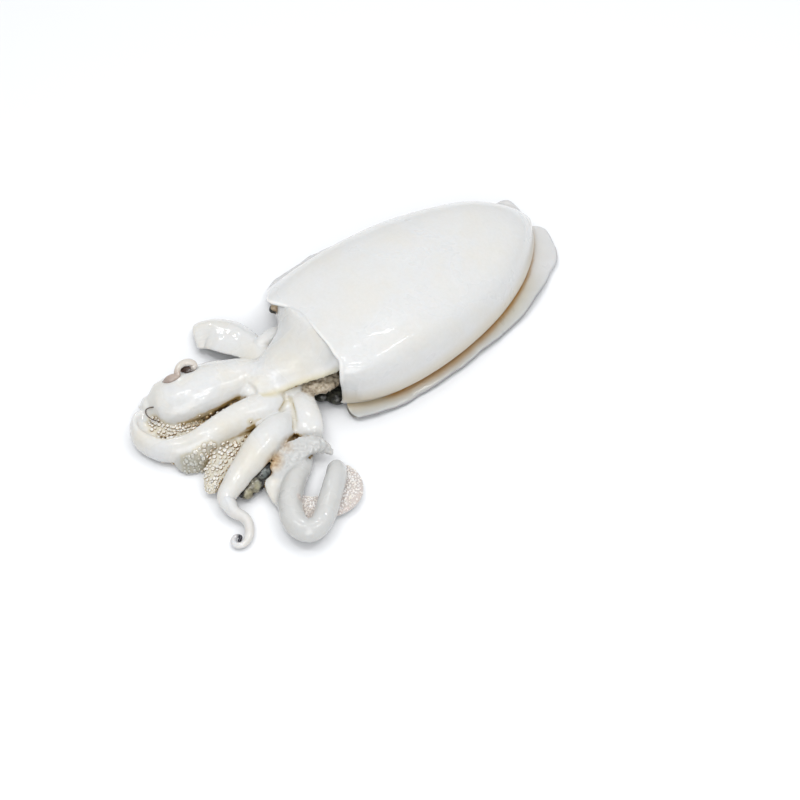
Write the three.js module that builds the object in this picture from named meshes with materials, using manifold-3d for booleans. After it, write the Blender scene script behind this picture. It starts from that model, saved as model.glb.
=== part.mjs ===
// A cleaned, skinned cuttlefish lying on its back: the mantle with its fin frill, and the head with its arms.
// Millimetres, +Z up. The table is Z = 0, the tail points to +Y and the arms to -Y.
// The origin is on the table, in the middle of the mantle's flat resting face.
import * as THREE from "three";
import { mergeVertices } from "three/addons/utils/BufferGeometryUtils.js";
import Module from "manifold-3d";

const wasm = await Module();
wasm.setup();

// Mantle
const MOUTH_Y = -78.5; // front edge of the bag at its middle
const TAIL_Y = 86; // closed end of the bag
const MANTLE_HALF_WIDTH = 53;
const MANTLE_TOPS = [35, 39, 38.5, 34, 26, 14]; // crest height, evenly from mouth to tail
const RIM_Z = 11; // height of the pinched edge round the bag
const RIM_RIDGE = 1.2; // how far that edge stands out
const TAIL_LEAN = 7; // the tail bends this far to -X
const MOUTH_PINCH = { right: 0.28, left: 0.05 }; // narrowing at the front corners
const MOUTH_CORNERS = { right: -5, left: 5 }; // how far the mouth's corners lie behind its middle
const CREST_SHIFT = 12; // at the mouth the crest lies this far to +X
const SQUARENESS = { right: [0.45, 0.62, 0.75, 0.85], left: [1, 0.92, 0.87, 0.85] }; // mouth to tail
const LIP_WALL = 5; // wall thickness at the mouth
const POCKET_END = 0.2; // the open pocket ends at this share of the length
const MANTLE_SIDES = 36;

// Fin frill, from the right front corner round the tail to the left front corner
const FIN_ROOT_IN = 10; // the root lies this far inside the rim
const FIN_WIDTHS = [8.5, 5.5, 4, 5, 7, 10, 13, 16, 11, 7, 6, 6.5, 6.5, 2]; // free width beyond the rim
const FIN_EDGE_Z = [2.5, 2, 2, 2.5, 3, 3.5, 3, 3.5, 4, 3, 4, 6, 6, 4]; // height of the free edge
const FIN_ROOT_Z = 4.2;
const FIN_END_SLANT = 0.022; // the free edge starts and stops this share of the rim later than the root
const FIN_THICK = { root: 5, edge: 1.8 };
const FIN_STEPS = 60;

// Head and funnel
const HEAD = { at: [6, -96, 10.5], radii: [22, 35, 10] };
const CROWN = { at: [7, -114, 14], radii: [13, 13, 8.5] };
const SOCKET = { at: [22, -87, 10], radii: [9, 12, 5] };
const TAB = { at: [-16, -90, 16], radii: [5.5, 8, 3.5] };
const FUNNEL_Y = [-66, -121]; // from inside the mouth to the crown
const FUNNEL_HALF_WIDTHS = [25, 28.5, 22, 17, 13, 9.5];
const FUNNEL_CENTRES = [2, 3, 5, 5, 5, 5];
const FUNNEL_TOPS = [27, 28, 26.5, 24.5, 22.5, 20];
const FUNNEL_DROOP = [7.5, 8, 7, 6, 5, 4]; // the side edges hang this far below the middle
const FUNNEL_THICK = { middle: 5.5, edge: 3.2 };
const CLEARANCE = 0.4; // gap kept between the head and the mantle
const JOIN_TOLERANCE = 0.08; // slivers along the joins are smaller than this

// Arms: each route point is [x, y, z, half width]. flat is thickness over width.
// roll turns the smooth back away from straight up, to the right of travel, evenly along the arm.
// suckers gives the stretch of the arm that bears them, as shares of its length.
const ARMS = [
  {
    name: "far arm, blunt end",
    route: [
      [-4, -108, 13, 8],
      [-15, -103, 14, 9.5],
      [-27, -104, 13.5, 10.5],
      [-37, -109, 12, 11],
      [-45, -115, 9.5, 10.5],
      [-50, -118, 7.5, 8.5],
      [-54, -120, 6, 5],
    ],
    flat: 0.62,
    roll: [0, 0],
    suckers: [0.2, 0.85],
  },
  {
    name: "broad arm",
    route: [
      [8, -106, 13, 8],
      [-4, -116, 15, 11],
      [-9, -129, 13.5, 15],
      [-13, -143, 12, 17],
      [-17, -156, 10, 15.5],
      [-21, -165, 8.5, 11],
      [-23, -169, 8, 5],
    ],
    flat: 0.72,
    roll: [5, 5],
    suckers: [0.2, 0.95],
  },
  {
    name: "tip of the broad arm, curled back over it",
    route: [
      [-22, -162, 9, 7],
      [-29, -161, 10, 4.8],
      [-30, -156, 14, 3.8],
      [-26, -151, 19.5, 3.3],
      [-25, -146, 22, 2.9],
      [-25, -141, 23, 2.6],
      [-21, -139, 23.5, 2.3],
      [-18, -142, 23.5, 1.9],
      [-19, -146, 23, 1.4],
    ],
    flat: 0.85,
    roll: [0, 0],
    suckers: [0.25, 0.6],
  },
  {
    name: "hooked arm, tip turned back inside the hook with its suckers up",
    route: [
      [10, -107, 13, 8],
      [19, -117, 15, 9.5],
      [17, -130, 14.5, 9],
      [16, -146, 13, 8],
      [16, -160, 11, 7.2],
      [10, -173, 8, 6.5],
      [1, -180, 6.5, 6.2],
      [-9, -183, 6.5, 5.8],
      [-17, -180, 6.5, 5],
      [-19, -174, 7, 4.6],
      [-13, -171, 7, 4.6],
      [-6, -169, 6.5, 4.6],
      [1, -163, 6, 4.2],
      [6, -154, 5.5, 3.4],
      [9, -146, 5, 2.2],
    ],
    flat: 0.78,
    roll: [-35, -50, -75, -165, -180],
    suckers: [0.2, 0.95],
  },
  {
    name: "arm with a spiral tip",
    route: [
      [17, -106, 13, 8],
      [26, -115, 16, 9.5],
      [33, -126, 16, 9.7],
      [38, -137, 14.5, 9],
      [43, -149, 12, 7.8],
      [48, -161, 9.5, 6.2],
      [53.5, -168.5, 7, 4.8],
      [61, -171, 5, 3.8],
      [69, -171, 4.3, 3.3],
      [74, -173, 4, 2.9],
      [76, -177, 3.5, 2.5],
      [72, -179, 3, 2.1],
      [70.5, -176, 3, 1.6],
    ],
    flat: 0.8,
    roll: [0, -20],
    suckers: [0.15, 0.6],
  },
  {
    name: "under arm, suckers up",
    route: [
      [14, -112, 8, 7],
      [22, -127, 7, 8],
      [27, -144, 6.5, 8],
      [31, -157, 6.5, 7.5],
      [39, -167, 5.5, 6.5],
      [49, -169, 5, 5.5],
      [54, -162, 5, 4.5],
      [53, -153, 5, 3.5],
      [49, -146, 5, 2.5],
    ],
    flat: 0.7,
    roll: [180, 180],
    suckers: [0.25, 0.95],
  },
  {
    name: "tucked arm",
    route: [
      [10, -112, 8, 7],
      [14, -134, 5.5, 8],
      [19, -151, 5.5, 8],
      [21, -163, 5.5, 7],
      [20, -172, 5, 5.5],
      [14, -176, 4.5, 3.5],
      [8, -173, 4, 2],
    ],
    flat: 0.75,
    roll: [110, 110],
    suckers: [0.35, 0.9],
  },
  {
    name: "short arm",
    route: [
      [12, -99, 12, 7],
      [19.5, -101, 13, 7.5],
      [28, -103.5, 12.5, 7.5],
      [36.5, -106, 12, 7.2],
      [44, -110, 9.5, 6.2],
      [49, -113, 6.5, 4.5],
    ],
    flat: 0.82,
    roll: [0, 0],
    suckers: [0.4, 0.85],
  },
  {
    name: "crossing arm, suckers up",
    route: [
      [24, -112, 6, 6],
      [37, -128, 5, 6.5],
      [46, -140, 5, 6.5],
      [54, -143, 5.5, 6.5],
      [56, -134, 7.5, 6.5],
      [52, -123, 9.5, 6],
      [54, -114, 10, 5],
      [59, -110, 8, 3.4],
      [62, -109, 6, 1.8],
    ],
    flat: 0.62,
    roll: [170, 170],
    suckers: [0.55, 0.95],
  },
  {
    name: "second tentacle, club under the loop",
    route: [
      [20, -108, 7, 6],
      [36, -121, 6, 6.5],
      [47, -134, 6, 7],
      [57, -143, 5.5, 6.5],
      [68, -147, 4.5, 5.5],
      [78, -144, 4, 6],
      [82, -137, 4, 5.5],
      [80, -130, 4, 3.5],
    ],
    flat: 0.75,
    roll: [180, 180],
    suckers: [0.7, 0.97],
  },
  {
    name: "looped tentacle",
    route: [
      [22, -103, 8, 5.5],
      [38, -113, 6, 6],
      [50, -122, 8, 6.3],
      [60, -131.5, 9, 6],
      [70, -140.5, 9.5, 6],
      [81, -147, 9.5, 6.3],
      [91, -149, 8.5, 6.8],
      [97, -144.5, 7.5, 7],
      [95, -137, 8, 7.2],
      [86, -129, 9, 7],
      [77, -121.5, 9.5, 6.6],
      [71, -115, 7, 6],
      [75.5, -111, 5, 6],
      [83.5, -113, 4, 6.5],
      [90.5, -120, 4, 6.5],
      [92, -126, 4, 5],
    ],
    flat: 0.85,
    roll: [180, 180],
    suckers: [0.8, 0.97],
  },
];
const ARM_SIDES = 9;
const ARM_STEPS_PER_POINT = 2;
const ORAL_FLATNESS = 0.75; // the sucker face is this much flatter than the back
const SUCKER_ROWS = [-0.6, 0.6]; // across the sucker face, as shares of the half width
const SUCKER_RADIUS_SHARE = 0.3; // of the arm's half width
const SUCKER_RADII = [1.1, 2]; // smallest and largest
const SUCKER_PITCH = 4; // spacing along a row, in sucker radii

const flesh = new THREE.MeshStandardMaterial({ color: 0xf1eee9, roughness: 0.28, metalness: 0 });
const armFlesh = new THREE.MeshStandardMaterial({ color: 0xf2efec, roughness: 0.25, metalness: 0 });

// Smooth reading of an evenly spaced list at a share from 0 to 1.
function along(values, share) {
  const place = THREE.MathUtils.clamp(share, 0, 1) * (values.length - 1);
  const i = Math.min(Math.floor(place), values.length - 2);
  const f = place - i;
  const [a, b] = [values[i], values[i + 1]];
  const before = values[i - 1] ?? 2 * a - b;
  const after = values[i + 2] ?? 2 * b - a;
  const [ma, mb] = [(b - before) / 2, (after - a) / 2];
  return (
    a * (1 + 2 * f) * (1 - f) ** 2 + ma * f * (1 - f) ** 2 + b * f * f * (3 - 2 * f) + mb * f * f * (f - 1)
  );
}

// A power that keeps the sign, for rounded-square sections.
function signedPower(value, power) {
  return Math.sign(value) * Math.abs(value) ** power;
}

// Moves every vertex of a geometry by a function of its place and index, and leaves only its position.
function reshape(geometry, place) {
  geometry.deleteAttribute("normal");
  geometry.deleteAttribute("uv");
  const position = geometry.getAttribute("position");
  const vertex = new THREE.Vector3();
  for (let i = 0; i < position.count; i++) {
    vertex.fromBufferAttribute(position, i);
    const moved = place(vertex, i);
    position.setXYZ(i, moved.x, moved.y, moved.z);
  }
  return geometry;
}

function solid(geometry) {
  const merged = mergeVertices(geometry, 1e-3);
  return new wasm.Manifold(
    new wasm.Mesh({
      numProp: 3,
      vertProperties: merged.getAttribute("position").array,
      triVerts: new Uint32Array(merged.index.array),
    }),
  );
}

// The largest body of a solid, with any hollow that joining sealed filled in.
function wholeBody(made) {
  const bodies = made.simplify(JOIN_TOLERANCE).decompose();
  return bodies.reduce((best, body) => (body.volume() > best.volume() ? body : best));
}

function mesh(name, made, material) {
  const { vertProperties, triVerts } = made.getMesh();
  const geometry = new THREE.BufferGeometry();
  geometry.setAttribute("position", new THREE.BufferAttribute(vertProperties, 3));
  geometry.setIndex(new THREE.BufferAttribute(triVerts, 1));
  geometry.computeVertexNormals();
  const piece = new THREE.Mesh(geometry, material);
  piece.name = name;
  return piece;
}

// Mantle: share t runs from the mouth at 0 to the tail at 1, and angle runs round the section from the +X rim.
function swell(t) {
  return Math.max(0, 1 - Math.max(0, t) ** 3.2) ** 0.75;
}

function halfWidth(t, side) {
  return MANTLE_HALF_WIDTH * swell(t) * (1 - MOUTH_PINCH[side] * Math.exp(-t / 0.1));
}

function centreX(t) {
  return -TAIL_LEAN * t * t;
}

function mouthY(angle) {
  const c = Math.cos(angle);
  const corner = c > 0 ? MOUTH_CORNERS.right : MOUTH_CORNERS.left;
  const from = c > 0 ? 0 : 0.45;
  return MOUTH_Y + corner * THREE.MathUtils.smoothstep(Math.abs(c), from, 0.95);
}

function mantleSkin(t, angle, inset) {
  const [c, s] = [Math.cos(angle), Math.sin(angle)];
  const side = c > 0 ? "right" : "left";
  const fade = Math.min(1, swell(t) * 2.2);
  const crest = s > 0 ? CREST_SHIFT * Math.exp(-((t / 0.4) ** 2)) : 0;
  const ridge = inset ? 0 : RIM_RIDGE * fade * Math.exp(-((s / 0.15) ** 2));
  const half = Math.max(0, halfWidth(t, side) + ridge - inset) - crest * Math.sign(c);
  const square = s > 0 ? along(SQUARENESS[side], t) : 0.87;
  const x = centreX(t) + crest + signedPower(c, square) * half;
  const y = THREE.MathUtils.lerp(mouthY(angle), TAIL_Y, t);
  const rise = (along(MANTLE_TOPS, t) - inset - RIM_Z) * fade;
  const drop = RIM_Z * 1.3 * fade;
  const z = s >= 0 ? RIM_Z + rise * s ** square : Math.max(inset, RIM_Z - drop * (-s) ** 0.8);
  return new THREE.Vector3(x, y, z);
}

// The wall seen in profile, from the tail along the outside, round the lip and back into the pocket.
function mantleProfile() {
  const outside = [0.995, 0.975, 0.94, 0.89, 0.83, 0.76, 0.68, 0.58, 0.48, 0.38, 0.28, 0.19, 0.12, 0.06, 0.02];
  const lip = [
    [0, 0.9],
    [-0.002, LIP_WALL / 2],
    [0.003, LIP_WALL * 0.85],
    [0.018, LIP_WALL],
  ];
  const pocket = [0.08, 0.15, POCKET_END];
  return [
    { t: 1, inset: 0, axis: true },
    ...outside.map((t) => ({ t, inset: 0 })),
    ...lip.map(([t, inset]) => ({ t, inset })),
    ...pocket.map((t) => ({ t, inset: LIP_WALL * (1 + 4 * t) })),
    { t: POCKET_END, inset: LIP_WALL, axis: true },
  ];
}

function mantleBag() {
  const profile = mantleProfile();
  const turned = new THREE.LatheGeometry(
    profile.map(({ t, axis }) => new THREE.Vector2(axis ? 0 : 1, t)),
    MANTLE_SIDES,
  );
  return reshape(turned, (vertex, i) => {
    const { t, inset, axis } = profile[i % profile.length];
    const angle = (Math.floor(i / profile.length) / MANTLE_SIDES) * 2 * Math.PI;
    if (!axis) return mantleSkin(t, angle, inset);
    return new THREE.Vector3(centreX(t), THREE.MathUtils.lerp(MOUTH_Y, TAIL_Y, t), RIM_Z);
  });
}

// The rim seen from above, from the right front corner round the tail to the left front corner.
function rimPath() {
  const shares = [0, 0.08, 0.18, 0.3, 0.42, 0.54, 0.65, 0.75, 0.84, 0.91, 0.96, 0.99];
  const right = shares.map((t) => mantleSkin(t, 0, 0));
  const left = shares.map((t) => mantleSkin(t, Math.PI, 0)).reverse();
  const tail = new THREE.Vector3(centreX(1), TAIL_Y, RIM_Z);
  return new THREE.CatmullRomCurve3([...right, tail, ...left]);
}

function finFrill() {
  const rim = rimPath();
  const slab = new THREE.BoxGeometry(1, 1, 1, FIN_STEPS, 1, 3);
  return reshape(slab, ({ x, y, z }) => {
    const across = z + 0.5;
    const s = 0.5 + x * (1 - 2 * FIN_END_SLANT * across);
    const at = rim.getPointAt(s);
    const ahead = rim.getTangentAt(s);
    const outward = new THREE.Vector3(ahead.y, -ahead.x, 0).normalize();
    const notch = 16 * Math.exp(-(((s - 0.518) / 0.022) ** 2));
    const ragged = 0.8 * Math.sin(71 * s) * Math.sin(29 * s + 1);
    const free = along(FIN_WIDTHS, s) + ragged - notch;
    const wave = 0.8 * Math.sin(46 * s) * Math.sin(13 * s + 0.5);
    const lift = THREE.MathUtils.lerp(FIN_ROOT_Z, along(FIN_EDGE_Z, s) + wave, across ** 1.5);
    const thick = THREE.MathUtils.lerp(FIN_THICK.root, FIN_THICK.edge, across);
    const reach = THREE.MathUtils.lerp(-FIN_ROOT_IN, free, across);
    at.addScaledVector(outward, reach);
    at.z = Math.max(0, lift + y * thick);
    return at;
  });
}

// Head: rounded lumps, the funnel over them, and the arms that leave the crown.
function lump({ at, radii }, grow = 0) {
  const ball = new THREE.SphereGeometry(1, 14, 8);
  return reshape(ball, ({ x, y, z }) => {
    const [rx, ry, rz] = radii.map((r) => r + grow);
    return new THREE.Vector3(at[0] + rx * x, at[1] + ry * y, Math.max(0, at[2] + rz * z));
  });
}

function funnel(grow = 0) {
  const slab = new THREE.BoxGeometry(2, 1, 2, 10, 9, 1);
  return reshape(slab, ({ x, y, z }) => {
    const share = 0.5 - y;
    const half = along(FUNNEL_HALF_WIDTHS, share) + grow;
    const thick = THREE.MathUtils.lerp(FUNNEL_THICK.middle, FUNNEL_THICK.edge, x * x);
    const top = along(FUNNEL_TOPS, share) - along(FUNNEL_DROOP, share) * x * x;
    return new THREE.Vector3(
      along(FUNNEL_CENTRES, share) + half * x,
      THREE.MathUtils.lerp(FUNNEL_Y[0] + grow, FUNNEL_Y[1] - grow, share),
      top - thick / 2 + (z * (thick + 2 * grow)) / 2,
    );
  });
}

// The place, the right-hand side and the back of an arm at a share of its route, with its half width.
function armSection(arm, path, share) {
  const at = path.getPoint(share);
  const ahead = path.getTangent(share);
  const side = new THREE.Vector3(ahead.y, -ahead.x, 0).normalize();
  const up = new THREE.Vector3().crossVectors(side, ahead);
  const roll = THREE.MathUtils.degToRad(along(arm.roll, share));
  const back = up.clone().multiplyScalar(Math.cos(roll)).addScaledVector(side, Math.sin(roll));
  const across = side.clone().multiplyScalar(Math.cos(roll)).addScaledVector(up, -Math.sin(roll));
  const half = along(
    arm.route.map((point) => point[3]),
    share,
  );
  return { at, back, across, half };
}

function armPath(arm) {
  return new THREE.CatmullRomCurve3(arm.route.map(([x, y, z]) => new THREE.Vector3(x, y, z)));
}

// A point of the arm's skin: turn is measured from the right-hand edge towards the back.
function armSkin(arm, section, turn) {
  const { at, back, across, half } = section;
  const thick = half * arm.flat * (Math.sin(turn) < 0 ? ORAL_FLATNESS : 1);
  const point = at.clone().addScaledVector(across, half * Math.cos(turn));
  point.addScaledVector(back, thick * Math.sin(turn));
  point.z = Math.max(0, point.z);
  return point;
}

// The arm as one closed piece for each stretch between two route points, so that it may curl onto itself.
function armBody(arm) {
  const path = armPath(arm);
  const stretches = arm.route.length - 1;
  return Array.from({ length: stretches }, (_, i) => {
    const rod = new THREE.CylinderGeometry(1, 1, 1, ARM_SIDES, ARM_STEPS_PER_POINT);
    return reshape(rod, ({ x, y, z }) => {
      const section = armSection(arm, path, (i + 0.5 + y) / stretches);
      if (Math.hypot(x, z) < 0.5) return section.at;
      return armSkin(arm, section, Math.atan2(z, x));
    });
  });
}

function armSuckers(arm) {
  const path = armPath(arm);
  const length = path.getLength();
  const [from, to] = arm.suckers;
  const made = [];
  SUCKER_ROWS.forEach((row, rowIndex) => {
    let run = from * length;
    while (run < to * length) {
      const section = armSection(arm, path, path.getUtoTmapping(run / length));
      const radius = THREE.MathUtils.clamp(section.half * SUCKER_RADIUS_SHARE, ...SUCKER_RADII);
      const stagger = rowIndex * radius * (SUCKER_PITCH / 2);
      const staggered = path.getUtoTmapping(Math.min(1, (run + stagger) / length));
      const seat = armSkin(arm, armSection(arm, path, staggered), -Math.acos(row));
      if (seat.z > radius * 0.6) {
        const bead = new THREE.IcosahedronGeometry(radius, 0);
        made.push(
          reshape(bead, (vertex) => {
            const point = vertex.clone().add(seat);
            point.z = Math.max(0, point.z);
            return point;
          }),
        );
      }
      run += radius * SUCKER_PITCH;
    }
  });
  return made;
}

function headWithArms() {
  const lumps = [HEAD, CROWN, SOCKET, TAB].map((part) => lump(part));
  const pieces = [...lumps, funnel(), ...ARMS.flatMap(armBody), ...ARMS.flatMap(armSuckers)];
  return wholeBody(wasm.Manifold.union(pieces.map(solid)));
}

function mantleWithFin() {
  const bag = solid(mantleBag()).add(solid(finFrill()));
  const neckRoom = [lump(HEAD, CLEARANCE), lump(SOCKET, CLEARANCE), funnel(CLEARANCE)].map(solid);
  return wholeBody(bag.subtract(wasm.Manifold.union(neckRoom)));
}

const cuttlefish = new THREE.Group();
cuttlefish.add(mesh("mantle", mantleWithFin(), flesh));
cuttlefish.add(mesh("head_with_arms", headWithArms(), armFlesh));

export default cuttlefish;
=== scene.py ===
"""Dresses the cleaned cuttlefish: wet white flesh, a thin fin frill, curled arms and their suckers."""

import math

import bpy
import numpy as np
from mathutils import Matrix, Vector, geometry, kdtree, noise
from mathutils.bvhtree import BVHTree


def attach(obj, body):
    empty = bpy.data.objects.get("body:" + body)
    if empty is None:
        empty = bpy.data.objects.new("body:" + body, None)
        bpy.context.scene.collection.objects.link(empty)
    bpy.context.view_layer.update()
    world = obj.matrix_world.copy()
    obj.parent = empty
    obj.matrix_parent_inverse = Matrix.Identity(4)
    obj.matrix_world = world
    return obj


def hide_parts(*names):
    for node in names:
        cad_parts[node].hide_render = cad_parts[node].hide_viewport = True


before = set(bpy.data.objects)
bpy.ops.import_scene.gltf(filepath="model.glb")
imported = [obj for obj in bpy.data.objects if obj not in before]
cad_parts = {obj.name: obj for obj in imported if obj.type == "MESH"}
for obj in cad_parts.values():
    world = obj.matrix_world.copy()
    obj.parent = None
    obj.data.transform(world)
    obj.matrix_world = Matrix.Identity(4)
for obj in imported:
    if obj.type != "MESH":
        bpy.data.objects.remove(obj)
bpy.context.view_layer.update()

MM = 0.001
luck = np.random.default_rng(seed=11)

# Sizes and places are in millimetres. Lists along the mantle run evenly from its mouth to its tail.
MOUTH_Y, TAIL_Y = -78.5, 86
MANTLE_HALF_WIDTH, OUTLINE_FALL, OUTLINE_ROUND = 53, 3.2, 0.75
MANTLE_TOPS = [35, 39, 38.5, 35.5, 30.5, 22]
TAIL_LEAN = 7
MOUTH_PINCH, MOUTH_PINCH_REACH = {"right": 0.28, "left": 0.05}, 0.1
TAIL_FULLNESS, TAIL_FULL_BETWEEN = {"right": 0, "left": 0.12}, (0.7, 0.92)
# The lip's places along the body, every 15 degrees from the right corner over the belly to the left one.
LIP_PLACES = [-84.2, -85, -84.2, -82.8, -81.2, -81.1, -79.5, -78.4, -80, -83.5, -78, -74.5, -72.5]
MOUTH_UNDERCUT, UNDERCUT_BETWEEN = 24, (0.35, 0.8)
# The bag's section: how square each half is, and how far its crest leans to the right near the mouth.
SQUARENESS = {"right": [0.45, 0.62, 0.75, 0.85], "left": [0.95, 0.8, 0.75, 0.72]}
UNDERSIDE_SQUARENESS, UNDERSIDE_DROP, UNDERSIDE_BEND = 0.87, 1.3, 0.8
CREST_SHIFT, CREST_REACH = 12, 0.4
# The pinched rim and its bead: shares of the ridge's height, and how far each reaches round it.
RIM_Z, RIM_RIDGE = 11, 1.2
RIM_BEAD = [(0.6, 0.15), (0.7, 0.055)]
LEFT_RIDGE_BETWEEN = (0.1, 0.35)
# The wall as a sheet, from the tail round the lip into the pocket: share of the sheet, share of the
# body's length and depth under the skin. Before the first row the sheet is the outer skin.
LIP_WALL, POCKET_END, POCKET_WALL = 5, 0.2, 9
WALL_PROFILE = [
    (0.72, 0.03, 0),
    (0.75, 0.008, 0.05),
    (0.77, 0.0005, 0.5),
    (0.785, -0.002, 1.1),
    (0.8, -0.001, 1.8),
    (0.82, 0.006, 2.4),
    (0.87, 0.05, LIP_WALL),
    (0.97, POCKET_END, POCKET_WALL),
    (1.0, POCKET_END, POCKET_WALL),
]
TAIL_BUNCHING = 0.11
# Tints on this sheet: a painted warm shade along the rim as far as the lip, a painted highlight on the
# lip, and the pocket's inside, where the mouth's corners get a painted dark shade.
RIM_SHADE_REACH, RIM_SHADE_ENDS = 5.5, (0.78, 0.84)
LIP_HIGHLIGHT_AT, LIP_HIGHLIGHT_REACH = 0.772, 0.018
POCKET_SHADE_STARTS = (0.8, 0.86)
# The skin's soft waves, as height and fineness, and the finer ripple on the near shoulder.
BAG_WAVES = [(0.5, 0.035), (0.16, 0.11)]
SHOULDER, SHOULDER_REACH = Vector((40, -54, 35)), 24
SHOULDER_RIPPLE, SHOULDER_FINENESS = 0.1, Vector((0.12, 0.3, 0.12))
WAVES_FROM_Z, WAVES_FADE = 1, 8

# The fin, from the right front corner round the tail to the left one: free widths and edge heights.
FIN_ROOT_IN, FIN_ROOT_Z, FIN_END_ROUND = 10, 4.2, 0.018
FIN_WIDTHS = [
    *(6, 4.6, 3.6, 3, 2.6, 3, 3.6, 4.8, 6.5, 8.3, 10, 11.8, 14, 10.6),
    *(7, 6.5, 6, 6, 5.5, 6.2, 7, 8.6, 11.4, 11.3, 10.8, 11, 6),
]
FIN_EDGE_Z = [2.5, 2, 2, 2.5, 3, 3.5, 3, 7, 5, 3, 4, 6, 6, 4]
FIN_ROOT_THICK, FIN_EDGE_THICK, FIN_LOWEST = 5, 1.6, 0.05
FIN_NOTCH = {"at": 0.5275, "reach": 0.01, "depth": 17}
TAIL_LOBE = {"at": 0.567, "reach": 0.018, "width": 4.2, "lift": 3}
# Painted warm shade in the groove under the rim, and the shares of the fin's run where it grows and
# fades.
GROOVE_SHADE_REACH, GROOVE_SHADE_GROWS, GROOVE_SHADE_FADES = 2.6, (0.02, 0.2), (0.4, 0.48)
TAIL_FIN_STARTS = (0.36, 0.44)

# The head's lumps, as centre and radii, and the funnel that lies over them, from the mouth to the crown.
LUMPS = {
    "head": ((4, -96, 10.5), (18, 35, 10)),
    "crown": ((5, -112, 12), (11, 13, 8)),
    "torn_flesh": ((22, -87, 13.6), (8.5, 12, 3.4)),
    "far_tab": ((-21, -90, 13), (5, 12, 4)),
    "neck": ((-8, -70, 17), (30, 16, 13)),
    "hook_bend": ((-9.5, -177, 6), (9.5, 4.8, 4.4)),
    "slit_flesh": ((-33, -74, 18.8), (3.8, 9, 4.4)),
    # Two lumps in the gap under the funnel's near edge, which carry a painted shadow.
    "shadow_lump": ((28.5, -82.8, 3.8), (6.5, 6, 3.8)),
    "shadow_lump_end": ((21, -88, 3.4), (7, 6, 3.4)),
    "root_pit": ((22.5, -109.5, 8), (5, 5, 5)),
    "crown_edge": ((5, -121.5, 13.5), (6, 7, 5.2)),
}
FUNNEL_Y = (-66, -121)
FUNNEL_HALF_WIDTHS = [32, 32, 22.5, 17, 13, 9.5]
FUNNEL_CENTRES = [-0.5, -0.5, 4.5, 5, 5, 5]
FUNNEL_TOPS = [35, 35, 29.4, 25.4, 22.5, 20]
FUNNEL_DROOP = [9, 10.5, 8, 6, 5, 4]
FUNNEL_BROW = [4, 4, 3, 2.2, 2, 2]
FUNNEL_MIDDLE_THICK, FUNNEL_EDGE_THICK, FUNNEL_FOLDS = 5.5, 1.8, 0.5
FUNNEL_UNDER_LIP, FUNNEL_LEAVES_LIP, CLEAR_OF_LIP = 0.3, (0.27, 0.45), 40

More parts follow.
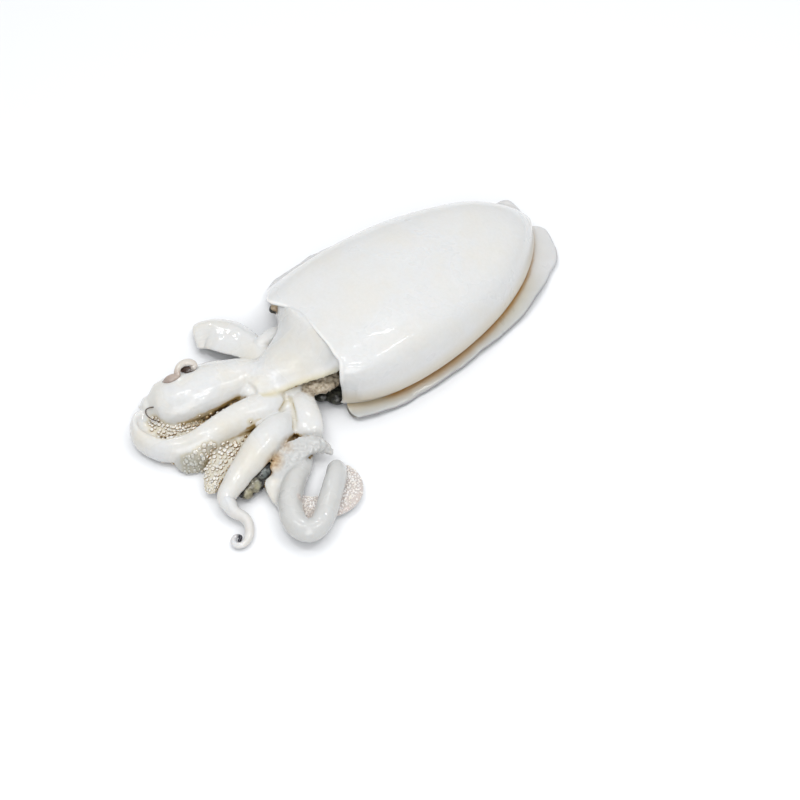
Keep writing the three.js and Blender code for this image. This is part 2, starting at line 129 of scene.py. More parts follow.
# Arms: route points are x, y, z and half width, and roll turns the back in degrees along the way. Flat
# is the back's height over the half width; keel, ridge and under shape the section, and blunt shortens
# the round tip. Suckers are the stretches of the way that carry them, with the rows' spread, rows round
# the edge and a bead's size; a club is such a stretch with fine pips. A loose tip stays its own piece.
ARMS = {
    "far_arm": {
        "route": [
            (0, -108, 12, 7),
            (-11, -103.3, 12.8, 7.5),
            (-24.6, -104.2, 11, 9.8),
            (-37, -106.6, 8.6, 12.6),
            (-44.9, -109, 6.8, 13),
            (-50.8, -112.8, 5, 12.2),
            (-53.8, -119.8, 4.2, 10),
        ],
        "flat": 0.3,
        "keel": 0.2,
        "ridge": 0.45,
        "blunt": 0.15,
        "roll": [0, 6],
    },
    "broad_arm": {
        "route": [
            (6, -106, 10, 8),
            (-4, -116, 14, 11),
            (-9, -129, 13.5, 15),
            (-13, -143, 12, 17),
            (-17, -156, 10.5, 16.5),
            (-20.5, -164, 9.5, 13.5),
            (-22, -167.5, 9, 8.5),
        ],
        "flat": 0.72,
        "under": 0.7,
        "keel": 0.62,
        "roll": [5, 5],
        "spread": 0.92,
        "suckers": [(0.2, 1.0)],
        "edge_rows": [-1.5, -1.68, -1.84],
    },
    "curled_tip": {
        "route": [
            (-24.6, -157.4, 19.4, 0.9),
            (-22.9, -155.6, 21.4, 2.3),
            (-21.6, -153.2, 22.5, 2.6),
            (-21, -150.4, 23, 2),
            (-22.6, -149.2, 24.2, 1.7),
            (-24, -146.9, 25.2, 1.9),
            (-24.2, -143.3, 25.6, 2.2),
            (-22.7, -140.7, 25.4, 2.2),
            (-20.4, -139.8, 24.6, 1.8),
            (-19.6, -141.6, 23.8, 1.8),
            (-20.8, -143.6, 23.4, 2.4),
            (-22, -145.2, 23.2, 2.2),
            (-22.6, -146.4, 23.2, 1.4),
        ],
        "flat": 0.7,
        "roll": [0, 0],
        "loose": True,
    },
    "hooked_arm": {
        "route": [
            (13, -105, 8, 5.5),
            (18.5, -117, 11, 8.4),
            (18, -128.5, 12.4, 9.6),
            (16.6, -143, 12.2, 9),
            (15.8, -156, 11, 8),
            (13.4, -166, 9, 7.2),
            (8, -175.5, 7.5, 6.6),
            (0, -181, 6.5, 6.4),
            (-9, -183, 6.5, 6),
            (-17, -180, 7, 5.2),
            (-18.5, -175, 8, 4.8),
            (-13, -172.4, 8.4, 4.8),
            (-6, -171, 8, 4.8),
            (1, -165.5, 7.5, 4.8),
            (5.5, -156, 7.5, 4.4),
            (8, -144, 7.5, 3.4),
        ],
        "flat": 0.7,
        "keel": 0.66,
        "roll": [-25, -40, -70, -165, -180],
        "spread": 0.92,
        "bead": 0.2,
        "suckers": [(0.12, 0.48), (0.72, 0.98)],
    },
    "thread_tip": {
        "route": [
            (-10.9, -166.9, 15, 0.5),
            (-14.4, -167.6, 15.4, 0.45),
            (-16.5, -169.1, 15, 0.42),
            (-18.2, -172.4, 14, 0.4),
            (-16.8, -173.8, 13.2, 0.36),
            (-14.2, -173.8, 12.6, 0.32),
            (-11.4, -173, 12.4, 0.3),
            (-8.4, -171, 12.2, 0.25),
        ],
        "flat": 0.9,
        "roll": [0, 0],
        "loose": True,
    },
    "spiral_arm": {
        "route": [
            (19, -104, 4.5, 6),
            (28.5, -115, 7.2, 7.8),
            (34.2, -126, 12, 9.4),
            (38.5, -137, 13.8, 9),
            (43, -149, 12, 8),
            (47.5, -161, 9.5, 6.4),
            (52, -169.3, 7, 5),
            (59.2, -170.2, 5.3, 3.6),
        ],
        "flat": 0.74,
        "keel": 0.62,
        "roll": [0, -10],
        "suckers": [(0.15, 0.85)],
    },
    "spiral_tip": {
        "route": [
            (52, -169.3, 6.8, 4.5),
            (59.2, -170, 5.3, 3.6),
            (65.7, -167.6, 4.4, 3),
            (70.4, -168.3, 3.8, 2.6),
            (75.2, -171.6, 3.2, 2.3),
            (77.4, -176.2, 2.6, 1.9),
            (75.6, -179.4, 2.2, 1.6),
            (72.3, -179.2, 2.1, 1.4),
            (71, -176.8, 2.2, 1.2),
            (72.8, -175.2, 2.5, 1),
            (74.2, -176.8, 2, 0.9),
        ],
        "flat": 0.85,
        "roll": [0, 0],
        "loose": True,
    },
    "under_arm": {
        "route": [
            (14, -112, 8, 7),
            (22, -127, 7, 8),
            (27, -144, 6.5, 8),
            (31, -157, 6.5, 7.5),
            (36, -166, 5.5, 6),
            (40, -171, 4.5, 4),
        ],
        "flat": 0.7,
        "roll": [180, 180],
        "spread": 0.92,
        "bead": 0.15,
        "suckers": [(0.25, 1)],
    },
    "tucked_arm": {
        "route": [
            (10, -112, 8, 7),
            (14, -134, 5.5, 8),
            (19, -151, 5.5, 8),
            (21, -163, 5.5, 7),
            (20, -171, 5, 5.5),
            (15, -174.5, 4.5, 4),
            (10, -172, 4, 2.5),
        ],
        "flat": 0.75,
        "roll": [120, 120],
        "spread": 0.92,
        "bead": 0.16,
        "suckers": [(0.3, 0.74)],
    },
    "short_arm": {
        "route": [
            (12, -99, 9, 6),
            (19.5, -101, 10.5, 6.6),
            (27, -103.5, 11.6, 7),
            (35, -107, 11.6, 8),
            (42.5, -110.5, 10, 7.8),
            (48, -113, 7.5, 6),
        ],
        "flat": 0.45,
        "keel": 0.6,
        "roll": [0, 0],
    },
    "crossing_arm": {
        "route": [
            (24, -112, 6, 6),
            (37, -128, 5, 6.5),
            (47, -140, 5, 6.5),
            (55.4, -142.6, 6, 6.5),
            (54, -135, 8.4, 6.5),
            (51.5, -127.5, 10.6, 6.2),
            (52, -120.9, 12, 5.8),
            (54.1, -115, 11.3, 5),
            (56.8, -111, 8.6, 3.4),
            (60, -108.9, 6, 1.6),
        ],
        "flat": 0.7,
        "roll": [190, 200],
    },
    "second_tentacle": {
        "route": [
            (20, -108, 7, 6),
            (36, -121, 6, 6.5),
            (47, -134, 6, 7),
            (58, -142, 5, 7),
            (67, -144.2, 4.5, 7),
            (75, -142.6, 4.2, 7),
            (81.3, -138, 4.2, 7.2),
            (86, -129, 4.2, 7.4),
            (86.8, -119.5, 4.2, 7.4),
            (80.8, -112.4, 4.4, 6.5),
            (72.5, -110.6, 4.6, 4.6),
        ],
        "flat": 0.58,
        "roll": [180, 180],
        "club": (0.48, 1.0),
    },
    "looped_tentacle": {
        "route": [
            (22, -103, 6, 5),
            (38, -113, 4.4, 4.6),
            (49.5, -119.5, 4.6, 4.6),
            (57.4, -125.6, 5.6, 5),
            (64.6, -135.4, 8.2, 5.8),
            (72.2, -143.6, 9.6, 6.1),
            (81.2, -149.2, 9.6, 6.3),
            (90, -150.4, 8.8, 6.4),
            (95, -146.2, 8.6, 6.2),
            (93.2, -138.6, 9.2, 5.9),
            (87.8, -131.4, 10, 5.9),
            (81.9, -124.2, 10.4, 5.9),
            (75.9, -117.7, 9.8, 5.7),
            (70.6, -113.4, 7.5, 5.2),
        ],
        "flat": 0.86,
        "under": 0.9,
        "roll": [0, 0],
    },
}
USUAL_ARM = {
    "under": 0.5,
    "keel": 0.57,
    "ridge": 0,
    "blunt": 1,
    "spread": 0.6,
    "bead": 0.13,
    "suckers": [],
    "edge_rows": [],
    "club": None,
    "loose": False,
}
# The section's bends: where its edges lie, how they turn, and how broad the sucker side is.
EDGE_DROP, EDGE_RISE, EDGE_TURN, SUCKER_SIDE = 0.1, 0.32, 0.55, 0.72
# The round tip beyond a route's end: reach and width, in half widths.
ROUND_TIP = [(0.45, 0.8), (0.75, 0.3)]
LINE_STEPS = 12
ARM_VOXEL, LOBE_VOXEL = 0.73, 0.45
TABLE_CUT, LOWEST_FLESH = 0.2, 0.1

# The end of an arm beside the spiral arm, lying in deep shade that is painted on it, as centres and
# radii of its lobes.
DARK_LOBES = [
    ((48, -144.5, 5.6), (6.6, 7, 5.6)),
    ((50.2, -152, 5.2), (6.6, 6.6, 5.2)),
    ((51.6, -157.4, 4.2), (5.4, 4.8, 4.2)),
]

# Bumps of the flesh: height, fineness and shift of each noise.
FLESH_BUMPS = [(0.22, 0.13, (0, 0, 0)), (0.07, 0.4, (0, 0, 0))]
CROWN_BUMPS = [(0.26, 0.6, (7, 0, 0))]
BEADY_BUMPS = [(0.8, 0.75, (0, 5, 0))]
LOOP_BUMPS = [(0.18, 0.3, (5, 0, 0))]
TORN_BUMPS = [(1.1, 0.5, (0, 0, 0)), (0.7, 1.1, (0, 0, 0))]
CROWN, CROWN_REACH = np.array((3, -114, 21)), 11
TORN_BEYOND, TORN_EDGE, TORN_FADE = 1.5, 1.1, 0.2
TORN_FROM_X, TORN_UNDER_Z = 14, 17.5
# Creases where the arms' roots overlap under the funnel's near edge, pressed in and with a painted
# warm shade.
ROOT_CREASES = [
    [(18.9, -109.8, 14.7), (21.1, -110.2, 12.8), (23.3, -113.1, 12.9), (25.4, -116.4, 13.2)],
    [
        *((21, -107.6, 12.5), (25.9, -109.7, 12.9), (30.9, -111.9, 13.5)),
        *((35.4, -114.5, 13.1), (39.1, -117.7, 12.4)),
    ],
]
CREASE_DEPTH, CREASE_REACH, CREASE_SHADE_REACH = 1.1, 2.4, 2.6

# Suckers: profiles of a cup and of a club's pip as radius and height, and the least and largest radius.
CUP = [(0.8, -0.5), (1.0, 0.1), (0.94, 0.55), (0.66, 0.84), (0.34, 0.8), (0.0, 0.62)]
PIP = [(0.9, -0.4), (1.0, 0.25), (0.75, 0.6), (0.4, 0.5), (0.0, 0.25)]
CUP_RADII, CUP_PITCH, CUP_SIDES, ROWS_PER_SPREAD = (0.45, 1.3), 1.6, 8, 1.15
PIP_RADII, PIP_PITCH, PIP_SIDES, PIP_SIZE = (0, 0.62), 1.75, 6, 0.1
CLUB_ROWS = [-0.96 + 0.16 * i for i in range(13)]
SEAT_BEYOND, SEAT_LOWEST, SEAT_FACING, BEAD_LOWEST = 4, 0.9, 0.1, 0.1
FLAT_SEAT_DEPTH, EDGE_SEAT_DEPTH, EDGE_SEAT_REACH = 0.62, 1.25, 1.2
BEAD_GAPS, BEAD_SIZES, ROW_WANDER, BEAD_LEAN = (0.8, 1.3), (0.6, 1.2), 0.08, 0.2
BED_REACH, BED_FADE = 2.6, 1.2

# Painted shade in folds: each point looks out along some rays, and the more closed in it is, the more
# shade is painted on it. Round the mantle's mouth, where head and mantle only touch, the flesh stays
# pale with little painted shade, between these places along the body. On the club the painted shade is
# fainter.
SHELTER_RAYS, SHELTER_REACH, SHELTER_START, GOLDEN_TURN = 14, 30, 0.6, 2.39996
TABLE_SHELTER = 0.3
PALE_MOUTH, PALE_FROM, PALE_TO = 0.85, (-104, -92), (-72, -56)
CLUB_PALENESS, CLUB_FROM, CLUB_REACH = 0.45, 0.5, 8

# Places with a tone laid over them, as centre and reach: a painted shadow in the gap under the funnel's
# near edge and along the slit's dark line, painted dark shade in the corners of the mouth, tan flesh
# round the crossing arm and in the slit that is partly a stain and partly painted warm shade, and
# painted shade on the tucked arm's bend and its suckers.
SHADOW_PLACES = [
    ((28.5, -82.8, 3.5), 10),
    ((21.5, -87.6, 2.6), 9),
    ((-34.4, -81.4, 20), 1.6),
    ((-33.3, -82.1, 19.5), 1.5),
    ((-32.2, -82.1, 19), 1.5),
    ((-31.2, -81.5, 18.6), 1.5),
    ((-30.2, -80.6, 18.3), 1.6),
]
CORNER_SHADE_PLACES = [((-43, -70, 16), 13), ((40, -81, 6), 10)]
STAIN_AND_SHADE_PLACES = [((41, -129, 7), 10), ((47, -127, 8), 7), ((47, -138, 6), 10), ((-31.4, -79.2, 20), 4.5)]
TUCKED_SHADE_PLACES = [((20.5, -170.5, 3), 10)]
PLACE_FADE = 0.35
# Thinner, greyish flesh: arms that have it, with the share of the way where it starts and its strength,
# and the funnel's skin.
VEILED_ARMS, VEIL_REACH = {"looped_tentacle": (0.22, 0.75), "crossing_arm": (0.45, 1)}, 8
FUNNEL_VEIL, VEIL_FROM_X, DULL_FROM_X = 0.2, -27, -30
FUNNEL_SKIN_Z, FUNNEL_EDGE_REACH = 14, 2.2

# Tones as seen on the screen, from 0 to 255.
TONES = {
    "belly_milk": (205, 205, 204),
    "belly_cream": (205, 203, 198),
    # Painted warm shade on the lower flank along the rim.
    "rim": (190, 182, 166),
    "lip_highlight": (228, 226, 223),
    "fin_root": (184, 178, 160),
    "fin_sheet": (178, 179, 177),
    "fin_edge_shadow": (138, 138, 142),
    "tail_fin": (198, 198, 199),
    "groove_shade": (160, 128, 78),
    "mantle_fold_shade": (166, 126, 72),
    "fin_fold_shade": (170, 166, 158),
    "mouth_corner_shade": (72, 50, 32),
    "limb_milk": (204, 204, 203),
    "limb_cream": (204, 200, 190),
    "veil": (183, 183, 181),
    "funnel_edge": (196, 184, 142),
    # Painted warm shade in folds, dark brown in deep ones.
    "fold": (178, 150, 94),
    "deep_fold_shade": (84, 60, 30),
    # Painted warm shade on the skin between the suckers.
    "bed_shade": (192, 178, 140),
    "club_bed": (184, 170, 162),
    # Painted warm shade along the root creases.
    "crease": (178, 160, 104),
    "torn_dark": (130, 116, 96),
    "torn_light": (182, 170, 150),
    "tan_dark": (150, 116, 72),
    "tan_light": (190, 168, 132),
    "tucked_shade": (132, 132, 122),
    "gap_shadow_dark": (24, 23, 21),
    "gap_shadow_light": (66, 66, 58),
    "tip_milk": (255, 255, 255),
    "tip_cream": (253, 250, 244),
    "tip_fold_shade": (70, 56, 44),
    "lobe": (128, 130, 120),
    "lobe_dark": (26, 27, 26),
    "lobe_light": (124, 130, 126),
    "lobe_end_dark": (40, 34, 26),
    "lobe_end_light": (160, 154, 128),
    "lobe_crease_shade": (24, 22, 20),
    "cup_rim": (212, 211, 208),
    "cup_hollow": (200, 192, 174),
    "pip_rim": (230, 226, 222),
    "pip_hollow": (180, 170, 166),
    "sucker_warm": (244, 238, 226),
    "sucker_fold_shade": (184, 156, 102),
    "sucker_deep_fold_shade": (110, 78, 38),
    "tucked_sucker_shade": (160, 160, 150),
}
# The loose tips' tones at shares of their length; the dark ends of the curled and spiral tips are
# painted shade in the hollow of their curl.
TIP_TONES = {
    "curled_tip": [
        (0, (150, 134, 126)),
        (0.3, (172, 160, 152)),
        (0.4, (198, 194, 188)),
        (0.72, (190, 184, 178)),
        (0.78, (52, 34, 24)),
    ],
    "spiral_tip": [(0.6, (203, 203, 203)), (0.8, (190, 190, 194)), (0.88, (40, 40, 48))],
    "thread_tip": [(0, (76, 68, 64)), (1, (60, 54, 52))],
}
WET_COAT, DULL_COAT = 0.8, 0.22
CUP_SHADE_START, PIP_SHADE_START = 0.2, 0.4
LOBES_PALE_BETWEEN = (-147, -154)

# The photograph's eye, in metres, with its turn and tilt in degrees.
EYE, EYE_TURN, EYE_TILT = (0.4473, -0.3663, 0.6011), 52, 50
EYE_LENS, EYE_SENSOR = 65, 36


def deselect():
    if bpy.context.object and bpy.context.object.mode != "OBJECT":
        bpy.ops.object.mode_set(mode="OBJECT")
    bpy.ops.object.select_all(action="DESELECT")


def select(*pieces):
    """Selects these objects alone; the first one is the active one."""
    deselect()
    for piece in pieces:
        piece.select_set(True)
    bpy.context.view_layer.objects.active = pieces[0]


def joined(name, parts):
    """One object made of several."""
    select(*parts)
    bpy.ops.object.join()
    whole = bpy.context.object
    whole.name = name
    return whole


def without_specks(piece):
    """The largest loose part of a mesh: the voxels can leave specks beside it."""
    name = piece.name
    select(piece)
    bpy.ops.mesh.separate(type="LOOSE")
    *specks, body = sorted(bpy.context.selected_objects, key=lambda part: len(part.data.vertices))
    for speck in specks:
        bpy.data.objects.remove(speck)
    body.name = name
    select(body)
    return body


def fused(piece, voxel, rounds):
    """The parts of a mesh grown into one skin, which is then smoothed for some rounds."""
    fuse = piece.modifiers.new("fuse", "REMESH")
    fuse.mode = "VOXEL"
    fuse.voxel_size = voxel * MM
    bpy.ops.object.modifier_apply(modifier=fuse.name)
    piece = without_specks(piece)
    relax = piece.modifiers.new("relax", "SMOOTH")
    relax.factor = 0.5
    relax.iterations = rounds
    bpy.ops.object.modifier_apply(modifier=relax.name)
    return piece


def store_mark(piece, name, values):
    """Keeps one number for each point of a mesh, for its material."""
    mark = piece.data.attributes.new(name, "FLOAT", "POINT")
    mark.data.foreach_set("value", np.array(values, dtype=np.float32))


def places_of(piece):
    """The points of a mesh in millimetres, one row each."""
    places = np.empty(len(piece.data.vertices) * 3)
    piece.data.vertices.foreach_get("co", places)
    return places.reshape(-1, 3) / MM


def along(values, share):
    """Smooth reading of an evenly spaced list at a share from 0 to 1."""
    place = min(max(share, 0), 1) * (len(values) - 1)
    i = min(int(place), len(values) - 2)
    f = place - i
    a, b = values[i], values[i + 1]
    before = values[i - 1] if i > 0 else 2 * a - b
    after = values[i + 2] if i + 2 < len(values) else 2 * b - a
    ma, mb = (b - before) / 2, (after - a) / 2
    return (
        a * (1 + 2 * f) * (1 - f) ** 2
        + ma * f * (1 - f) ** 2
        + b * f * f * (3 - 2 * f)
        + mb * f * f * (f - 1)
    )


def smoothstep(x, low, high):
    f = min(max((x - low) / (high - low), 0), 1)
    return f * f * (3 - 2 * f)


def rising(values, start, width):
    """Many values at once: 0 up to start, then rising evenly to 1 over a width."""
    return np.clip((values - start) / width, 0, 1)


def bell(gap, reach):
    return math.exp(-((gap / reach) ** 2))


def signed_power(value, power):
    return math.copysign(abs(value) ** power, value)


def arms():
    """Each arm's name and its values, with the usual ones filled in."""
    return [(name, {**USUAL_ARM, **arm}) for name, arm in ARMS.items()]


# Mantle


def swell(t):
    """The bag's width along its length, full at the mouth and closing at the tail."""
    return max(0, 1 - max(0, t) ** OUTLINE_FALL) ** OUTLINE_ROUND


def half_width(t, side):
    pinch = 1 - MOUTH_PINCH[side] * math.exp(-t / MOUTH_PINCH_REACH)
    fullness = 1 + TAIL_FULLNESS[side] * smoothstep(t, *TAIL_FULL_BETWEEN)
    return MANTLE_HALF_WIDTH * swell(t) * pinch * fullness


def centre_x(t):
    return -TAIL_LEAN * t * t


def mouth_y(angle):
    """The lip's place along the body, with the cut-back under the head."""
    c, s = math.cos(angle), math.sin(angle)
    if s >= 0:
        return along(LIP_PLACES, math.atan2(s, c) / math.pi)
    right, left = LIP_PLACES[0], LIP_PLACES[-1]
    undercut = MOUTH_UNDERCUT * smoothstep(-s, *UNDERCUT_BETWEEN)
    return left + (right - left) * smoothstep(c, -1, 1) + undercut


def mantle_skin(t, angle, inset):
    """A point of the bag at a share of its length and an angle round it, some depth under the skin."""
    c, s = math.cos(angle), math.sin(angle)
    side = "right" if c > 0 else "left"
    fade = 1 - (1 - swell(t)) ** 4
    crest = CREST_SHIFT * bell(t, CREST_REACH) if s > 0 else 0
    bead = sum(share * bell(s, reach) for share, reach in RIM_BEAD)
    strength = 1 if c > 0 else smoothstep(t, *LEFT_RIDGE_BETWEEN)
    ridge = 0 if inset else RIM_RIDGE * fade * bead * strength
    half = max(0, half_width(t, side) + ridge - inset) - math.copysign(crest, c)
    square = along(SQUARENESS[side], t) if s > 0 else UNDERSIDE_SQUARENESS
    x = centre_x(t) + crest + signed_power(c, square) * half
    y = mouth_y(angle) + (TAIL_Y - mouth_y(angle)) * t
    if s >= 0:
        z = RIM_Z + (along(MANTLE_TOPS, t) - inset - RIM_Z) * fade * s**square
    else:
        z = max(inset, RIM_Z - RIM_Z * UNDERSIDE_DROP * fade * (-s) ** UNDERSIDE_BEND)
    return Vector((x, y, z))


def wall_profile(v):
    """Share of the body's length and depth under the skin, at a share of the wall's sheet."""
    skin_end, length_end, _ = WALL_PROFILE[0]
    if v < skin_end:
        way = v / skin_end
        return 1 - (1 - length_end) * way + TAIL_BUNCHING * math.sin(math.pi * way), 0
    for (v0, t0, d0), (v1, t1, d1) in zip(WALL_PROFILE, WALL_PROFILE[1:]):
        if v <= v1:
            f = (v - v0) / (v1 - v0)
            return t0 + (t1 - t0) * f, d0 + (d1 - d0) * f
    return POCKET_END, POCKET_WALL


def sheet_of_points(name, along_count, across_count, place, marks=None):
    """A grid with its points moved to place(u, v), in millimetres, and its touching edges welded."""
    deselect()
    bpy.ops.mesh.primitive_grid_add(x_subdivisions=along_count, y_subdivisions=across_count, size=2)
    sheet = bpy.context.object
    sheet.name = name
    spots = [((vertex.co.x + 1) / 2, (vertex.co.y + 1) / 2) for vertex in sheet.data.vertices]
    for mark, reading in (marks or {}).items():
        store_mark(sheet, mark, [reading(u, v) for u, v in spots])
    for vertex, (u, v) in zip(sheet.data.vertices, spots):
        vertex.co = place(u, v) * MM
    bpy.ops.object.mode_set(mode="EDIT")
    bpy.ops.mesh.select_all(action="SELECT")
    bpy.ops.mesh.remove_doubles(threshold=1e-6)
    bpy.ops.mesh.fill_holes(sides=0)
    bpy.ops.mesh.normals_make_consistent(inside=False)
    bpy.ops.object.mode_set(mode="OBJECT")
    return sheet


def bag_point(u, v):
    t, depth = wall_profile(v)
    point = mantle_skin(t, 2 * math.pi * u, depth)
    pocket_floor = WALL_PROFILE[-2][0]
    if v > pocket_floor:
        middle = Vector((centre_x(t), MOUTH_Y + (TAIL_Y - MOUTH_Y) * t, RIM_Z))
        point = point.lerp(middle, (v - pocket_floor) / (1 - pocket_floor))
    soft = sum(height * noise.noise(point * fineness) for height, fineness in BAG_WAVES)
    shoulder = bell((point - SHOULDER).length, SHOULDER_REACH)
    soft += SHOULDER_RIPPLE * shoulder * noise.noise(point * SHOULDER_FINENESS)
    if point.z > WAVES_FROM_Z:
        point.z = point.z + soft * min(1, (point.z - WAVES_FROM_Z) / WAVES_FADE)
    return point


class Rim:
    """The mantle's pinched edge, from the right front corner round the tail to the left front corner."""

    def __init__(self):
        shares = np.linspace(0, 1, 260) ** 0.7
        right = [mantle_skin(t, 0, 0) for t in shares]
        left = [mantle_skin(t, math.pi, 0) for t in shares[-2::-1]]
        self.points = right + left
        steps = [(b - a).length for a, b in zip(self.points, self.points[1:])]
        self.runs = np.concatenate([[0], np.cumsum(steps)])

    def at(self, s):
        run = min(max(s, 0), 1) * self.runs[-1]
        i = int(np.clip(np.searchsorted(self.runs, run) - 1, 0, len(self.points) - 2))
        f = (run - self.runs[i]) / (self.runs[i + 1] - self.runs[i])
        return self.points[i].lerp(self.points[i + 1], f)

    def outward(self, s):
        ahead = self.at(s + 0.02) - self.at(s - 0.02)
        return Vector((ahead.y, -ahead.x, 0)).normalized()


def fin_frill():
    """The fin as a folded sheet: u runs along the rim, v from the root round the edge and back."""
    rim = Rim()

    def towards_edge(v):
        return 1 - abs(2 * v - 1)

    def place(u, v):
        across = towards_edge(v)
        s = 0.5 + (u - 0.5) * (1 - 2 * FIN_END_ROUND * across**5)
        notch = FIN_NOTCH["depth"] * bell(s - FIN_NOTCH["at"], FIN_NOTCH["reach"])
        lobe = bell(s - TAIL_LOBE["at"], TAIL_LOBE["reach"])
        ragged = 0.4 * math.sin(71 * s) * math.sin(29 * s + 1) + 0.6 * noise.noise((s * 50, 3, 0))
        free = along(FIN_WIDTHS, s) + ragged - notch + TAIL_LOBE["width"] * lobe
        wave = 0.8 * math.sin(46 * s) * math.sin(13 * s + 0.5) + 0.5 * noise.noise((s * 60, 9, across))
        edge_z = along(FIN_EDGE_Z, s) + TAIL_LOBE["lift"] * lobe + wave
        lift = FIN_ROOT_Z + (edge_z - FIN_ROOT_Z) * across**1.5
        thick = FIN_ROOT_THICK + (FIN_EDGE_THICK - FIN_ROOT_THICK) * across
        rounding = max(0, 1 - (2 * across - 1) ** 12) ** 0.5
        reach = -FIN_ROOT_IN + (free + FIN_ROOT_IN) * across
        point = rim.at(s) + rim.outward(s) * reach
        point.z = max(FIN_LOWEST, lift + math.copysign(thick / 2 * rounding, 0.5 - v))
        return point

    def frill(u, v):
        """From 0.05 at the root to 1 at the edge; the bag keeps 0."""
        return 0.05 + 0.95 * towards_edge(v)

    def groove_shade(u, v):
        """Painted warm shade in the groove under the rim, fainter at the near front corner and from the
        tail on.
        """
        beyond_rim = (along(FIN_WIDTHS, u) + FIN_ROOT_IN) * towards_edge(v) - FIN_ROOT_IN
        strength = (0.4 + 0.6 * smoothstep(u, *GROOVE_SHADE_GROWS)) * (1 - 0.3 * smoothstep(u, *GROOVE_SHADE_FADES))
        return strength * bell(max(0, beyond_rim + GROOVE_SHADE_REACH), GROOVE_SHADE_REACH)

    def tail(u, v):
        return smoothstep(u, *TAIL_FIN_STARTS) * smoothstep(v, 0.05, 0.2)

    return sheet_of_points("fin_frill", 460, 40, place, {"frill": frill, "groove_shade": groove_shade, "tail": tail})


def mantle_piece():
    # The rim mark: where a warm shade is painted on the lower flank along the rim, up to the lip.
    def rim(u, v):
        return bell(bag_point(u, v).z - RIM_Z, RIM_SHADE_REACH) * (1 - smoothstep(v, *RIM_SHADE_ENDS))

    def pocket(u, v):
        return smoothstep(v, *POCKET_SHADE_STARTS)

    def lip_highlight(u, v):
        """The front edge over the head, where a highlight is painted."""
        return bell(v - LIP_HIGHLIGHT_AT, LIP_HIGHLIGHT_REACH) * smoothstep(math.sin(2 * math.pi * u), 0, 0.4)

    bag = sheet_of_points("mantle_bag", 180, 250, bag_point, {"rim": rim, "pocket": pocket, "lip_highlight": lip_highlight})
    mantle = joined("mantle_skin", [bag, fin_frill()])
    bpy.ops.object.shade_smooth()
    return mantle


# Head, funnel and arms


def lump(centre, radii):
    deselect()
    bpy.ops.mesh.primitive_uv_sphere_add(segments=48, ring_count=28, radius=1)
    ball = bpy.context.object
    ball.scale = [r * MM for r in radii]
    ball.location = Vector(centre) * MM
    bpy.ops.object.transform_apply(location=True, rotation=False, scale=True)
    return ball


def lip_roof():
    """The underside of the mantle's lip: places across the mouth and their heights."""
    angles = np.linspace(math.pi - 0.02, 0.02, 200)
    under = [mantle_skin(0.01, angle, FUNNEL_UNDER_LIP) for angle in angles]
    return [point.x for point in under], [point.z for point in under]


def funnel_flap():
    """The flap as a folded sheet, which stays under the mantle's lip until it has left it."""
    roof_x, roof_z = lip_roof()

    def place(share, v):
        x = 2 * (1 - abs(2 * v - 1)) - 1
        thick = FUNNEL_MIDDLE_THICK + (FUNNEL_EDGE_THICK - FUNNEL_MIDDLE_THICK) * x * x
        rounding = max(0, 1 - abs(x) ** 14) ** 0.5
        across = along(FUNNEL_CENTRES, share) + along(FUNNEL_HALF_WIDTHS, share) * x
        droop = along(FUNNEL_DROOP, share) * abs(x) ** along(FUNNEL_BROW, share)
        clear = CLEAR_OF_LIP * smoothstep(share, *FUNNEL_LEAVES_LIP)
        roof = float(np.interp(across, roof_x, roof_z)) + clear
        middle = min(along(FUNNEL_TOPS, share) - droop, roof) - thick / 2
        y = FUNNEL_Y[0] + (FUNNEL_Y[1] - FUNNEL_Y[0]) * share
        fold = FUNNEL_FOLDS * noise.noise((x * 1.5, share * 4, 2))
        z = middle + fold + (-1 if v > 0.5 else 1) * thick / 2 * rounding
        return Vector((across, y, z))

    return sheet_of_points("funnel_flap", 90, 140, place)


def with_round_tip(route, bluntness):
    points = [Vector(p[:3]) for p in route]
    half = route[-1][3]
    ahead = (points[-1] - points[-2]).normalized()
    extra = []
    for reach, width in ROUND_TIP:
        extra.append((*(points[-1] + ahead * half * reach * bluntness), half * width))
    return list(route) + extra


def arm_section(flat, keel, under, ridge):
    """The arm's section as a closed curve, one unit of half width: ridged back, flat sucker side."""
    low = -EDGE_DROP - (under - EDGE_DROP) * EDGE_TURN
    bends_wanted = [
        ((-1, -EDGE_DROP), (-1, low), (-1, EDGE_RISE)),
        ((ridge, 1), (ridge - keel, 1), (ridge + keel * (1 - ridge), 1)),
        ((1, -EDGE_DROP), (1, EDGE_RISE), (1, low)),
        ((0, -under), (SUCKER_SIDE, -under), (-SUCKER_SIDE, -under)),
    ]
    deselect()
    bpy.ops.curve.primitive_bezier_circle_add(radius=1)
    ring = bpy.context.object
    for bend, (spot, before, after) in zip(ring.data.splines[0].bezier_points, bends_wanted):
        bend.handle_left_type = bend.handle_right_type = "FREE"
        bend.co = (spot[0], spot[1] * flat, 0)
        bend.handle_left = (before[0], before[1] * flat, 0)
        bend.handle_right = (after[0], after[1] * flat, 0)
    ring.data.resolution_u = 8
    return ring


